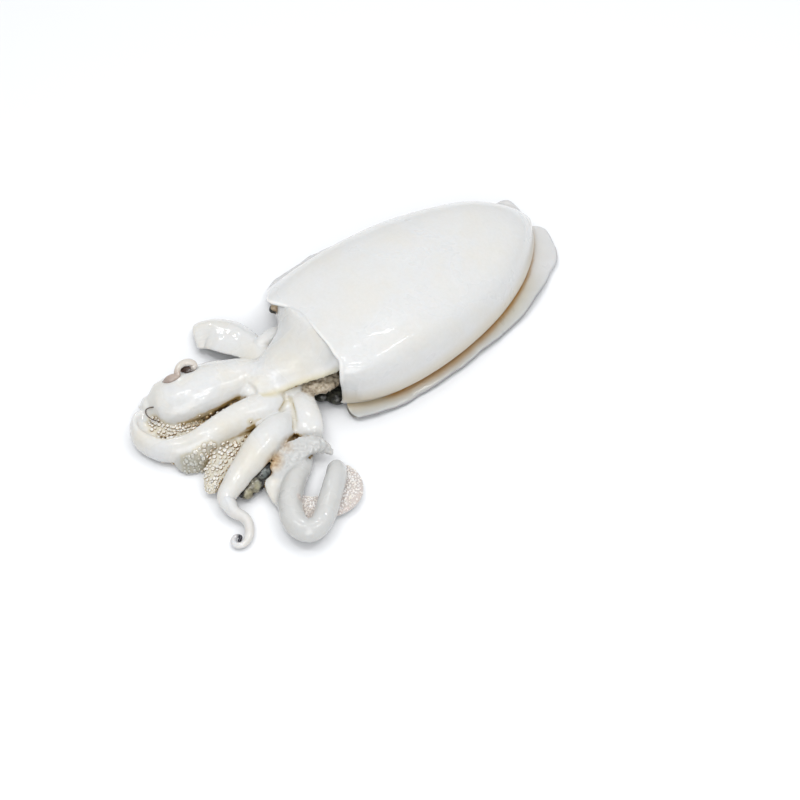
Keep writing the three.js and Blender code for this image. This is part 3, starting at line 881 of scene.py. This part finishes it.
def arm_curve(name, arm):
    """The arm as a swept curve, and evenly spaced places along its middle line."""
    route = with_round_tip(arm["route"], arm["blunt"])
    points = [Vector(p[:3]) * MM for p in route]
    ring = arm_section(arm["flat"], arm["keel"], arm["under"], arm["ridge"])
    deselect()
    bpy.ops.curve.primitive_bezier_curve_add()
    curve = bpy.context.object
    curve.name = name
    data = curve.data
    data.dimensions = "3D"
    data.twist_mode = "Z_UP"
    data.resolution_u = 10
    spline = data.splines[0]
    spline.radius_interpolation = "CARDINAL"
    spline.tilt_interpolation = "CARDINAL"
    spline.bezier_points.add(len(points) - 2)
    count = len(arm["route"]) - 1
    for i, bend in enumerate(spline.bezier_points):
        before, after = points[max(i - 1, 0)], points[min(i + 1, len(points) - 1)]
        ahead = (after - before).normalized()
        bend.handle_left_type = bend.handle_right_type = "FREE"
        bend.co = points[i]
        bend.handle_left = points[i] - ahead * (points[i] - before).length / 3
        bend.handle_right = points[i] + ahead * (after - points[i]).length / 3
        bend.radius = route[i][3] * MM
        bend.tilt = math.radians(along(arm["roll"], i / count))
    bends = list(spline.bezier_points)
    line = []
    for i, (a, b) in enumerate(zip(bends, bends[1:])):
        spots = geometry.interpolate_bezier(a.co, a.handle_right, b.handle_left, b.co, LINE_STEPS + 1)
        for j, spot in enumerate(spots[:-1]):
            line.append((spot, min(1, (i + j / LINE_STEPS) / count)))
    data.bevel_mode = "OBJECT"
    data.bevel_object = ring
    data.use_fill_caps = True
    select(curve)
    bpy.ops.object.convert(target="MESH")
    swept = bpy.context.object
    bpy.data.objects.remove(ring)
    return swept, line


def arm_frames(arm, line):
    """Places along the arm: middle, right-hand side, back, half width and share of the way."""
    frames = []
    for i, (spot, share) in enumerate(line):
        ahead = (line[min(i + 1, len(line) - 1)][0] - line[max(i - 1, 0)][0]).normalized()
        side = Vector((ahead.y, -ahead.x, 0)).normalized()
        up = side.cross(ahead)
        roll = math.radians(along(arm["roll"], share))
        back = up * math.cos(roll) + side * math.sin(roll)
        across = side * math.cos(roll) - up * math.sin(roll)
        half = along([p[3] for p in arm["route"]], share) * MM
        frames.append({"at": spot, "across": across, "back": back, "half": half, "share": share})
    return frames


def near_arm(places, frames, start, reach):
    """How near points lie to an arm's line after a share of it: 1 within reach, 0 beyond 1.3 of it."""
    line = [np.array(one["at"]) / MM for one in frames if one["share"] > start]
    gaps = np.min([np.linalg.norm(places - spot, axis=1) for spot in line[::2]], axis=0)
    return rising(1.3 - gaps / reach, 0, 0.3)


def crease_gap(places):
    """How far points lie from the nearest root crease, in millimetres."""
    gaps = []
    for crease in ROOT_CREASES:
        for a, b in zip(crease, crease[1:]):
            a, b = np.array(a), np.array(b)
            share = np.clip((places - a) @ (b - a) / ((b - a) @ (b - a)), 0, 1)
            gaps.append(np.linalg.norm(places - a - share[:, None] * (b - a), axis=1))
    return np.min(gaps, axis=0)


def torn_share(places):
    """Where the flesh under the funnel's near edge is torn."""
    centre, radii = (np.array(part) for part in LUMPS["torn_flesh"])
    off = np.linalg.norm((places - centre) / (radii + TORN_BEYOND), axis=1)
    within = (places[:, 0] > TORN_FROM_X) * (places[:, 2] < TORN_UNDER_Z)
    return rising(TORN_EDGE - off, 0, TORN_FADE) * within


def bumps(spot, kinds):
    heights = [tall * noise.noise(spot * fineness + Vector(shift)) for tall, fineness, shift in kinds]
    return sum(heights)


def roughen(head, frames):
    """Soft bumps all over, more on crown, crossing arm, loop and torn flesh, and the root creases."""
    places = places_of(head)
    normals = np.empty(places.size)
    head.data.vertices.foreach_get("normal", normals)
    crown = np.exp(-((np.linalg.norm(places - CROWN, axis=1) / CROWN_REACH) ** 2))
    torn = torn_share(places)
    rougher = [
        (crown * (crown > 0.05), CROWN_BUMPS),
        (near_arm(places, frames["crossing_arm"], start=0.5, reach=7) * (places[:, 2] > 3), BEADY_BUMPS),
        (near_arm(places, frames["looped_tentacle"], start=0.2, reach=8), LOOP_BUMPS),
        (torn, TORN_BUMPS),
    ]
    push = np.empty(len(places))
    for i, spot in enumerate(map(Vector, places)):
        push[i] = bumps(spot, FLESH_BUMPS)
        for share, kinds in rougher:
            if share[i] > 0:
                push[i] += share[i] * bumps(spot, kinds)
    push -= CREASE_DEPTH * np.clip(1 - crease_gap(places) / CREASE_REACH, 0, 1) ** 2
    places += normals.reshape(-1, 3) * push[:, None]
    places[:, 2] = np.maximum(places[:, 2], LOWEST_FLESH)
    head.data.vertices.foreach_set("co", (places * MM).ravel())
    head.data.update()
    store_mark(head, "torn", torn)
    # The crease mark carries a painted warm shade along the root creases.
    store_mark(head, "crease", np.clip(1 - crease_gap(places) / CREASE_SHADE_REACH, 0, 1) ** 2)


def head_piece():
    """Head, funnel and arms grown together into one smooth skin that lies on the table."""
    parts = [lump(*one) for one in LUMPS.values()] + [funnel_flap()]
    frames, tips = {}, {}
    for name, arm in arms():
        swept, line = arm_curve(name, arm)
        frames[name] = arm_frames(arm, line)
        if arm["loose"]:
            bpy.ops.object.shade_smooth()
            tips[name] = swept
        else:
            parts.append(swept)
    head = joined("head_and_arms", parts)
    bpy.ops.object.mode_set(mode="EDIT")
    bpy.ops.mesh.select_all(action="SELECT")
    table = (0, 0, TABLE_CUT * MM)
    bpy.ops.mesh.bisect(plane_co=table, plane_no=(0, 0, 1), use_fill=True, clear_inner=True)
    bpy.ops.object.mode_set(mode="OBJECT")
    head = fused(head, ARM_VOXEL, rounds=4)
    roughen(head, frames)
    bpy.ops.object.shade_smooth()
    return head, frames, tips


def dark_lobes():
    """The short dark end of an arm, pinched into lobes."""
    lobes = joined("dark_lobes", [lump(*one) for one in DARK_LOBES])
    lobes = fused(lobes, LOBE_VOXEL, rounds=12)
    bpy.ops.object.shade_smooth()
    return lobes


# Suckers


def turned_bead(profile, sides):
    """Points, faces and depth of a small turned shape, one unit in radius, standing on +Z."""
    points, depth = [], []
    for i, (r, h) in enumerate(profile[:-1]):
        for k in range(sides):
            turn = 2 * math.pi * k / sides
            points.append((r * math.cos(turn), r * math.sin(turn), h))
            depth.append(i / (len(profile) - 1))
    points.append((0, 0, profile[-1][1]))
    depth.append(1)
    faces = [tuple(reversed(range(sides)))]
    for i in range(len(profile) - 2):
        for k in range(sides):
            a, b = i * sides + k, i * sides + (k + 1) % sides
            faces.append((a, b, b + sides, a + sides))
    last = (len(profile) - 2) * sides
    for k in range(sides):
        faces.append((last + k, last + (k + 1) % sides, len(points) - 1))
    return np.array(points), faces, np.array(depth)


def seat_on_skin(skin, frame_at, row):
    """Where a bead sits on an arm's sucker side: row is a share of the half width to one side, and
    beyond 1 it goes up round the arm's edge."""
    half, across, oral = frame_at["half"], frame_at["across"], -frame_at["back"]
    start = frame_at["at"] + across * (half * row)
    reach, deepest = half + SEAT_BEYOND * MM, FLAT_SEAT_DEPTH
    if abs(row) > 1:
        lean = (abs(row) - 1) * math.pi / 2
        start = frame_at["at"]
        oral = oral * math.cos(lean) + across * math.copysign(math.sin(lean), row)
        reach, deepest = half * EDGE_SEAT_REACH + SEAT_BEYOND * MM, EDGE_SEAT_DEPTH
    spot, normal, _, _ = skin.ray_cast(start, oral, reach)
    if spot is None or normal.dot(oral) < SEAT_FACING or spot.z < SEAT_LOWEST * MM:
        return None
    if (spot - start).length > half * deepest:
        return None
    return spot, normal


def bead_seats(skin, frames, span, rows, size, radii, pitch):
    """Seats for the beads of one arm: spot, normal and radius, row by row and staggered."""
    seats = []
    for index, row in enumerate(rows):
        run, due = 0.0, (index % 2) * 0.5
        for a, b in zip(frames, frames[1:]):
            if a["share"] < span[0] or a["share"] > span[1]:
                continue
            radius = min(max(a["half"] * size, radii[0] * MM), radii[1] * MM)
            run += (b["at"] - a["at"]).length
            if run < due * radius * pitch:
                continue
            run, due = 0.0, luck.uniform(*BEAD_GAPS)
            seat = seat_on_skin(skin, a, row + luck.normal(0, ROW_WANDER))
            if seat:
                seats.append((*seat, radius * luck.uniform(*BEAD_SIZES)))
    return seats


def bead_mesh(name, seats, profile, sides):
    """One mesh with a slightly leaning bead on each seat."""
    shape, faces, depth = turned_bead(profile, sides)
    points, polygons, hollow = [], [], []
    for spot, normal, radius in seats:
        lean = Vector(luck.normal(0, BEAD_LEAN, 3))
        up = (normal + lean).normalized()
        side = up.orthogonal().normalized()
        other = up.cross(side)
        turned = np.outer(shape[:, 0], side) + np.outer(shape[:, 1], other) + np.outer(shape[:, 2], up)
        start = len(points)
        points.extend(map(tuple, turned * radius + np.array(spot)))
        polygons.extend(tuple(start + i for i in face) for face in faces)
        hollow.extend(depth)
    mesh = bpy.data.meshes.new(name)
    mesh.from_pydata(points, [], polygons)
    mesh.validate()
    beads = bpy.data.objects.new(name, mesh)
    store_mark(beads, "hollow", hollow)
    bpy.context.collection.objects.link(beads)
    for vertex in mesh.vertices:
        vertex.co.z = max(vertex.co.z, BEAD_LOWEST * MM)
    select(beads)
    bpy.ops.object.shade_smooth()
    return beads


def tree_of(*objects):
    """The faces of some objects, ready to be met by rays."""
    points, faces = [], []
    for one in objects:
        start = len(points)
        points.extend(v.co.copy() for v in one.data.vertices)
        faces.extend([start + i for i in p.vertices] for p in one.data.polygons)
    return BVHTree.FromPolygons(points, faces)


def nearest_of(spots):
    """Some places, ready to be searched for the nearest one."""
    tree = kdtree.KDTree(len(spots))
    for i, spot in enumerate(spots):
        tree.insert(spot, i)
    tree.balance()
    return tree


def mark_bed(head, name, seats):
    """Marks the skin between the suckers."""
    tree = nearest_of([spot for spot, _, _ in seats])
    gaps = np.array([tree.find(vertex.co)[2] for vertex in head.data.vertices]) / MM
    store_mark(head, name, rising(BED_REACH - gaps, 0, BED_FADE))


def sucker_pieces(head, frames):
    skin = tree_of(head)
    cups, pips = [], []
    for name, arm in arms():
        count = max(3, round(ROWS_PER_SPREAD * arm["spread"] / arm["bead"]))
        rows = [*np.linspace(-arm["spread"], arm["spread"], count), *arm["edge_rows"]]
        line = frames[name]
        for span in arm["suckers"]:
            cups += bead_seats(skin, line, span, rows, arm["bead"], CUP_RADII, CUP_PITCH)
        if arm["club"]:
            pips += bead_seats(skin, line, arm["club"], CLUB_ROWS, PIP_SIZE, PIP_RADII, PIP_PITCH)
    # The bed shade mark carries a painted warm shade between the arms' suckers.
    mark_bed(head, "bed_shade", cups)
    mark_bed(head, "club_bed", pips)
    suckers = bead_mesh("suckers", cups, CUP, CUP_SIDES)
    return suckers, bead_mesh("club_suckers", pips, PIP, PIP_SIDES)


# Marks on the skin for the materials


def open_from(y):
    """How dark the painted shade in folds may be at a place along the body."""
    return 1 - PALE_MOUTH * smoothstep(y, *PALE_FROM) * (1 - smoothstep(y, *PALE_TO))


def sheltered(piece, surroundings):
    """How closed in each point of the skin is, from 0 in the open to 1 in a deep fold; shade is painted
    by it.
    """
    reach = SHELTER_REACH * MM
    turns = [(math.sqrt((i + 0.5) / SHELTER_RAYS), i * GOLDEN_TURN) for i in range(SHELTER_RAYS)]
    hidden = np.zeros(len(piece.data.vertices), dtype=np.float32)
    for i, vertex in enumerate(piece.data.vertices):
        up = vertex.normal
        side = up.orthogonal().normalized()
        other = up.cross(side)
        start = vertex.co + up * (SHELTER_START * MM)
        closed = 0.0
        for r, turn in turns:
            way = (side * math.cos(turn) + other * math.sin(turn)) * r + up * math.sqrt(1 - r * r)
            _, _, _, far = surroundings.ray_cast(start, way, reach)
            if far is not None:
                closed += 1 - far / reach
            elif way.z < -0.05 and -start.z / way.z < reach:
                closed += TABLE_SHELTER * (1 + start.z / way.z / reach)
        hidden[i] = closed / SHELTER_RAYS * open_from(vertex.co.y / MM)
    return hidden


def mark_places(piece, name, spots):
    """Marks the skin round some places, each a centre and a reach."""
    places = places_of(piece)
    gaps = [np.linalg.norm(places - np.array(centre), axis=1) / reach for centre, reach in spots]
    store_mark(piece, name, rising(1 - np.min(gaps, axis=0), 0, PLACE_FADE))


def mark_thin_flesh(head, frames):
    """Marks greyish flesh on arms and funnel, the funnel's duller skin and its yellowish near edge."""
    places = places_of(head)
    x, y, z = places.T
    veils = [
        near_arm(places, frames[name], start, VEIL_REACH) * strength
        for name, (start, strength) in VEILED_ARMS.items()
    ]
    share = np.clip((y - FUNNEL_Y[0]) / (FUNNEL_Y[1] - FUNNEL_Y[0]), 0, 1)
    on_funnel = rising(z, FUNNEL_SKIN_Z, 3) * rising(share, 0.2, 0.1)
    veils.append(FUNNEL_VEIL * on_funnel * rising(0.8 - share, 0, 0.3) * (x > VEIL_FROM_X))
    store_mark(head, "veil", np.max(veils, axis=0))
    store_mark(head, "dull", on_funnel * rising(1.04 - share, 0, 0.1) * (x > DULL_FROM_X))
    steps = np.linspace(0, 1, 60)
    edges = [along(FUNNEL_CENTRES, step) + along(FUNNEL_HALF_WIDTHS, step) for step in steps]
    gap = x - np.interp(share, steps, edges)
    store_mark(head, "edge", np.exp(-((gap / FUNNEL_EDGE_REACH) ** 2)) * on_funnel * (share < 1))


def mark_tip(piece, frames):
    """Marks how far each point of a loose tip lies towards its end."""
    tree = nearest_of([place["at"] for place in frames])
    shares = [frames[tree.find(vertex.co)[1]]["share"] for vertex in piece.data.vertices]
    store_mark(piece, "tip", shares)


# Materials


def link(tree, source, target):
    tree.links.new(source, target)


def add(tree, kind, **values):
    made = tree.nodes.new(kind)
    for key, value in values.items():
        if key in made.inputs:
            made.inputs[key].default_value = value
        else:
            setattr(made, key, value)
    return made


def object_place(tree):
    return add(tree, "ShaderNodeTexCoord").outputs["Object"]


def noise_on(tree, **values):
    """Noise that is fixed to the piece."""
    made = add(tree, "ShaderNodeTexNoise", **values)
    link(tree, object_place(tree), made.inputs["Vector"])
    return made.outputs["Fac"]


def attribute(tree, name):
    return add(tree, "ShaderNodeAttribute", attribute_name=name).outputs["Fac"]


def ramp(tree, factor, stops):
    made = tree.nodes.new("ShaderNodeValToRGB")
    marks = made.color_ramp.elements
    while len(marks) < len(stops):
        marks.new(0.5)
    for mark, (place, colour) in zip(marks, stops):
        mark.position = place
        mark.color = (*colour[:3], 1)
    link(tree, factor, made.inputs["Fac"])
    return made.outputs["Color"]


def mix(tree, factor, a, b, blend="MIX"):
    made = tree.nodes.new("ShaderNodeMix")
    made.data_type = "RGBA"
    made.blend_type = blend
    for value, socket in ((factor, made.inputs[0]), (a, made.inputs[6]), (b, made.inputs[7])):
        if isinstance(value, bpy.types.NodeSocket):
            link(tree, value, socket)
        else:
            socket.default_value = value
    return made.outputs[2]


def rgb(r, g, b):
    """A colour given as seen on screen, as the linear colour the shader takes."""

    def linear(c):
        c = c / 255
        return c / 12.92 if c <= 0.04045 else ((c + 0.055) / 1.055) ** 2.4

    return (linear(r), linear(g), linear(b), 1)


def tone(name):
    return rgb(*TONES[name])


def level(value):
    return (value, value, value)


def mask(tree, name, low, high, strength=1.0):
    """A mark of the mesh as a mask that starts at low and is full at high."""
    return ramp(tree, attribute(tree, name), [(low, level(0)), (high, level(strength))])


def lay(tree, colour, over, mark, low, high, strength=1.0):
    """Another colour laid over a colour where the mesh has a mark."""
    return mix(tree, mask(tree, mark, low, high, strength), colour, over)


def paint(tree, colour):
    link(tree, colour, tree.nodes["Principled BSDF"].inputs["Base Color"])


def new_material(name):
    material = bpy.data.materials.new(name)
    material.use_nodes = True
    tree = material.node_tree
    return material, tree, tree.nodes["Principled BSDF"]


def wet_flesh(name, milk, cream, roughness, ripple=0.14):
    """Wet white flesh. Its colour so far comes back too, for each piece's marks to be laid over it."""
    material, tree, skin = new_material(name)

    clouds = noise_on(tree, Scale=38.0, Detail=3.0, Roughness=0.55, Distortion=0.4)
    cloud_mask = ramp(tree, clouds, [(0.42, level(0)), (0.72, level(1))])
    colour = mix(tree, cloud_mask, tone(milk), tone(cream))
    grain = noise_on(tree, Scale=520.0, Detail=4.0, Roughness=0.6)
    grain_mask = ramp(tree, grain, [(0.35, (0.94, 0.94, 0.93)), (0.6, level(1))])
    colour = mix(tree, 0.5, colour, grain_mask, "MULTIPLY")
    wet = ramp(tree, clouds, [(0.3, level(roughness - 0.06)), (0.7, level(roughness + 0.08))])
    link(tree, wet, skin.inputs["Roughness"])

    ripples = noise_on(tree, Scale=130.0, Detail=3.0, Roughness=0.5, Distortion=0.8)
    low = add(tree, "ShaderNodeBump", Strength=ripple, Distance=0.0006)
    link(tree, ripples, low.inputs["Height"])
    fine = add(tree, "ShaderNodeBump", Strength=0.12, Distance=0.0002)
    link(tree, grain, fine.inputs["Height"])
    link(tree, low.outputs["Normal"], fine.inputs["Normal"])
    link(tree, fine.outputs["Normal"], skin.inputs["Normal"])

    skin.inputs["Subsurface Weight"].default_value = 0.35
    skin.inputs["Subsurface Radius"].default_value = (1.0, 0.8, 0.65)
    skin.inputs["Subsurface Scale"].default_value = 0.004
    skin.inputs["IOR"].default_value = 1.42
    skin.inputs["Coat Weight"].default_value = WET_COAT
    skin.inputs["Coat Roughness"].default_value = 0.06
    skin.inputs["Coat IOR"].default_value = 1.33
    return material, tree, colour


def belly_flesh():
    material, tree, colour = wet_flesh("belly_flesh", "belly_milk", "belly_cream", 0.3, ripple=0.05)
    # Painted warm shade on the lower flank along the rim.
    colour = lay(tree, colour, tone("rim"), "rim", 0.1, 1)
    # Painted highlight along the lip.
    colour = lay(tree, colour, tone("lip_highlight"), "lip_highlight", 0.2, 1, 0.8)
    # The fin's edge ends in a thin dark line, a painted shadow under the edge.
    frill_stops = [(0.5, tone("fin_root")), (0.95, tone("fin_sheet")), (0.988, tone("fin_edge_shadow"))]
    frill = ramp(tree, attribute(tree, "frill"), frill_stops)
    frill = lay(tree, frill, tone("tail_fin"), "tail", 0, 1, 0.7)
    colour = lay(tree, colour, frill, "frill", 0.02, 0.05)
    # Painted warm shade in the groove under the rim.
    colour = lay(tree, colour, tone("groove_shade"), "groove_shade", 0, 1)
    # Painted warm shade in folds, greyer on the fin.
    fold = mix(tree, mask(tree, "frill", 0.5, 0.9), tone("mantle_fold_shade"), tone("fin_fold_shade"))
    colour = lay(tree, colour, fold, "fold", 0.24, 0.55)
    # Painted dark shade inside the mouth's corners.
    corner_shade_mask = add(tree, "ShaderNodeMath", operation="MULTIPLY")
    link(tree, mask(tree, "pocket", 0.2, 0.9), corner_shade_mask.inputs[0])
    link(tree, mask(tree, "corner_shade", 0.1, 0.9), corner_shade_mask.inputs[1])
    colour = mix(tree, corner_shade_mask.outputs[0], colour, tone("mouth_corner_shade"))
    paint(tree, colour)
    return material


def limb_flesh():
    material, tree, colour = wet_flesh("limb_flesh", "limb_milk", "limb_cream", 0.26)
    colour = lay(tree, colour, tone("veil"), "veil", 0, 1)
    colour = lay(tree, colour, tone("funnel_edge"), "edge", 0.1, 1, 0.6)
    # Painted warm shade in folds, dark brown in deep ones.
    fold = ramp(tree, attribute(tree, "fold"), [(0.38, tone("fold")), (0.64, tone("deep_fold_shade"))])
    colour = lay(tree, colour, fold, "fold", 0.31, 0.5)
    # Painted warm shade on the skin between the suckers.
    colour = lay(tree, colour, tone("bed_shade"), "bed_shade", 0, 1, 0.5)
    colour = lay(tree, colour, tone("club_bed"), "club_bed", 0, 1, 0.7)
    # Painted warm shade along the root creases.
    colour = lay(tree, colour, tone("crease"), "crease", 0, 1, 0.75)
    shreds = noise_on(tree, Scale=420.0, Detail=3.0)
    torn = ramp(tree, shreds, [(0.36, tone("torn_dark")), (0.62, tone("torn_light"))])
    colour = lay(tree, colour, torn, "torn", 0.2, 0.9)
    # Tan flesh round the crossing arm and in the slit: partly a stain, partly painted warm shade.
    stain_and_shade = ramp(tree, shreds, [(0.36, tone("tan_dark")), (0.62, tone("tan_light"))])
    colour = lay(tree, colour, stain_and_shade, "stain_and_shade", 0, 1, 0.85)
    # Painted shade on the tucked arm's bend, which lies under the hooked arm.
    colour = lay(tree, colour, tone("tucked_shade"), "tucked_shade", 0, 1, 0.5)
    # Painted shadow, near black, in the gap under the funnel's near edge and along the slit.
    painted_shadow = ramp(tree, shreds, [(0.36, tone("gap_shadow_dark")), (0.64, tone("gap_shadow_light"))])
    colour = lay(tree, colour, painted_shadow, "painted_shadow", 0.1, 0.9)
    paint(tree, colour)

    coat = ramp(tree, attribute(tree, "dull"), [(0, level(WET_COAT)), (1, level(DULL_COAT))])
    # The painted shadow is matte.
    coat = lay(tree, coat, (*level(0), 1), "painted_shadow", 0.1, 0.9)
    link(tree, coat, tree.nodes["Principled BSDF"].inputs["Coat Weight"])
    return material


def tip_flesh(name, stops):
    """Flesh of a loose tip, with kept skin and a curl's hollow painted as shade: stops are shares with
    tones.
    """
    material, tree, colour = wet_flesh(name, "tip_milk", "tip_cream", 0.26)
    skin = ramp(tree, attribute(tree, "tip"), [(share, rgb(*shade)) for share, shade in stops])
    colour = mix(tree, 1.0, colour, skin, "MULTIPLY")
    # Painted dark shade in the tip's folds.
    colour = lay(tree, colour, tone("tip_fold_shade"), "fold", 0.3, 0.6)
    paint(tree, colour)
    return material


def shaded_lobe_flesh():
    """Grey-green painted deep shade on the arm's end, paler towards its tip and black in its creases."""
    material, tree, _ = wet_flesh("shaded_lobe_flesh", "lobe", "lobe", 0.2)
    blotches = noise_on(tree, Scale=240.0, Detail=3.0)
    colour = ramp(tree, blotches, [(0.4, tone("lobe_dark")), (0.66, tone("lobe_light"))])
    pale = ramp(tree, blotches, [(0.4, tone("lobe_end_dark")), (0.66, tone("lobe_end_light"))])
    axes = add(tree, "ShaderNodeSeparateXYZ")
    link(tree, object_place(tree), axes.inputs[0])
    towards_tip = add(tree, "ShaderNodeMapRange")
    link(tree, axes.outputs["Y"], towards_tip.inputs["Value"])
    towards_tip.inputs["From Min"].default_value = LOBES_PALE_BETWEEN[0] * MM
    towards_tip.inputs["From Max"].default_value = LOBES_PALE_BETWEEN[1] * MM
    colour = mix(tree, towards_tip.outputs["Result"], colour, pale)
    # Painted black shade in the lobes' creases.
    colour = lay(tree, colour, tone("lobe_crease_shade"), "fold", 0.15, 0.27)
    paint(tree, colour)
    return material


def sucker_flesh(name, rim, hollow, shade_start):
    """Firm beads with a darker hollow, with painted brown shade where they sit in a fold."""
    material, tree, skin = new_material(name)
    cup = ramp(tree, attribute(tree, "hollow"), [(0.7, tone(rim)), (1.0, tone(hollow))])
    patches = noise_on(tree, Scale=160.0, Detail=2.0)
    warm = ramp(tree, patches, [(0.35, tone("sucker_warm")), (0.6, level(1))])
    colour = mix(tree, 0.6, cup, warm, "MULTIPLY")
    # Painted brown shade where the beads sit in a fold.
    shade_stops = [(shade_start + 0.1, tone("sucker_fold_shade")), (0.55, tone("sucker_deep_fold_shade"))]
    fold = ramp(tree, attribute(tree, "fold"), shade_stops)
    colour = lay(tree, colour, fold, "fold", shade_start, shade_start + 0.2)
    # Painted shade on the suckers at the tucked arm's bend.
    colour = lay(tree, colour, tone("tucked_sucker_shade"), "tucked_shade", 0, 1, 0.6)
    paint(tree, colour)
    skin.inputs["Roughness"].default_value = 0.3
    skin.inputs["Subsurface Weight"].default_value = 0.3
    skin.inputs["Subsurface Radius"].default_value = (1.0, 0.8, 0.6)
    skin.inputs["Subsurface Scale"].default_value = 0.0015
    skin.inputs["Coat Weight"].default_value = 0.4
    skin.inputs["Coat Roughness"].default_value = 0.1
    return material


def dress(piece, material, node):
    piece.data.materials.clear()
    piece.data.materials.append(material)
    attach(piece, "root")
    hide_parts(node)


# Studio, in metres


def area_light(name, place, aim, size, power):
    deselect()
    bpy.ops.object.light_add(type="AREA", location=place)
    lamp = bpy.context.object
    lamp.name = name
    lamp.data.shape = "DISK"
    lamp.data.size = size
    lamp.data.energy = power
    lamp.rotation_euler = (Vector(aim) - Vector(place)).to_track_quat("-Z", "Y").to_euler()
    return lamp


def strip_light(name, place, length, width, turn, power):
    """A long lamp that hangs level and shines straight down."""
    lamp = area_light(name, place, (place[0], place[1], 0), length, power)
    lamp.data.shape = "RECTANGLE"
    lamp.data.size_y = width
    lamp.rotation_euler = (0, 0, math.radians(turn))
    return lamp


def paper_floor():
    deselect()
    bpy.ops.mesh.primitive_plane_add(size=8, location=(0, 0, -0.0003))
    floor = bpy.context.object
    floor.name = "floor"
    paper, _, sheet = new_material("white_paper")
    sheet.inputs["Base Color"].default_value = (0.76, 0.765, 0.775, 1)
    sheet.inputs["Roughness"].default_value = 0.7
    floor.data.materials.append(paper)


def pale_room():
    world = bpy.data.worlds.new("pale_room")
    bpy.context.scene.world = world
    world.use_nodes = True
    sky = world.node_tree.nodes["Background"]
    sky.inputs["Color"].default_value = (0.93, 0.96, 1.0, 1)
    sky.inputs["Strength"].default_value = 0.5
    bpy.context.scene.view_settings.view_transform = "Standard"


def lamps():
    cloth = area_light("overhead_cloth", (-0.25, 0.25, 1.5), (0.0, -0.05, 0), size=2.4, power=16.6)
    cloth.visible_glossy = False
    area_light("front_fill", (1.0, -0.9, 0.9), (0.02, -0.06, 0), size=0.9, power=7.4)
    strip_light("shoulder_strip", (0.42, 0.34, 1.1), length=0.56, width=0.08, turn=80, power=2.2)
    strip_light("back_strip", (-0.355, 0.265, 1.1), length=0.27, width=0.05, turn=39, power=0.6)
    strip_light("corner_strip", (0.33, -0.24, 1.1), length=0.25, width=0.06, turn=30, power=0.7)
    strip_light("arm_strip", (-0.12, -0.36, 1.15), length=0.4, width=0.12, turn=35, power=1.6)
    area_light("right_lamp", (0.56, -0.46, 1.05), (0.02, -0.06, 0), size=0.12, power=0.9)
    area_light("left_lamp", (-0.9, 0.0, 0.6), (0.0, -0.1, 0), size=0.07, power=0.2)
    area_light("loop_lamp", (0.8, -0.36, 1.05), (0.08, -0.14, 0), size=0.1, power=0.5)


def camera():
    deselect()
    bpy.ops.object.camera_add(location=EYE)
    eye = bpy.context.object
    eye.data.lens = EYE_LENS
    eye.data.sensor_width = EYE_SENSOR
    turn, tilt = math.radians(EYE_TURN), math.radians(EYE_TILT)
    ahead = Vector((-math.sin(turn) * math.cos(tilt), math.cos(turn) * math.cos(tilt), -math.sin(tilt)))
    eye.rotation_euler = ahead.to_track_quat("-Z", "Y").to_euler()
    bpy.context.scene.camera = eye


def main():
    camera()
    paper_floor()
    pale_room()
    lamps()
    mantle = mantle_piece()
    head, frames, tips = head_piece()
    lobes = dark_lobes()
    suckers, club_suckers = sucker_pieces(head, frames)

    # The fold mark: how closed in each point is, by which the materials paint shade; fainter on the
    # club.
    around = tree_of(mantle, head, lobes)
    for piece in (mantle, head, lobes, suckers, club_suckers, *tips.values()):
        fold = sheltered(piece, around)
        if piece is head or piece is club_suckers:
            on_club = near_arm(places_of(piece), frames["second_tentacle"], CLUB_FROM, CLUB_REACH)
            fold *= 1 - CLUB_PALENESS * on_club
        store_mark(piece, "fold", fold)
    # Marks for painted shadow and shade, stain and painted shade in the tan places, and painted mouth
    # shade.
    mark_places(head, "painted_shadow", SHADOW_PLACES)
    mark_places(head, "stain_and_shade", STAIN_AND_SHADE_PLACES)
    mark_places(head, "tucked_shade", TUCKED_SHADE_PLACES)
    mark_places(suckers, "tucked_shade", TUCKED_SHADE_PLACES)
    mark_places(mantle, "corner_shade", CORNER_SHADE_PLACES)
    mark_thin_flesh(head, frames)
    for name, tip in tips.items():
        mark_tip(tip, frames[name])

    cups = sucker_flesh("sucker_flesh", "cup_rim", "cup_hollow", CUP_SHADE_START)
    pips = sucker_flesh("club_flesh", "pip_rim", "pip_hollow", PIP_SHADE_START)
    dress(mantle, belly_flesh(), "mantle")
    dress(head, limb_flesh(), "head_with_arms")
    dress(lobes, shaded_lobe_flesh(), "head_with_arms")
    dress(suckers, cups, "head_with_arms")
    dress(club_suckers, pips, "head_with_arms")
    for name, stops in TIP_TONES.items():
        dress(tips[name], tip_flesh(name + "_flesh", stops), "head_with_arms")


main()
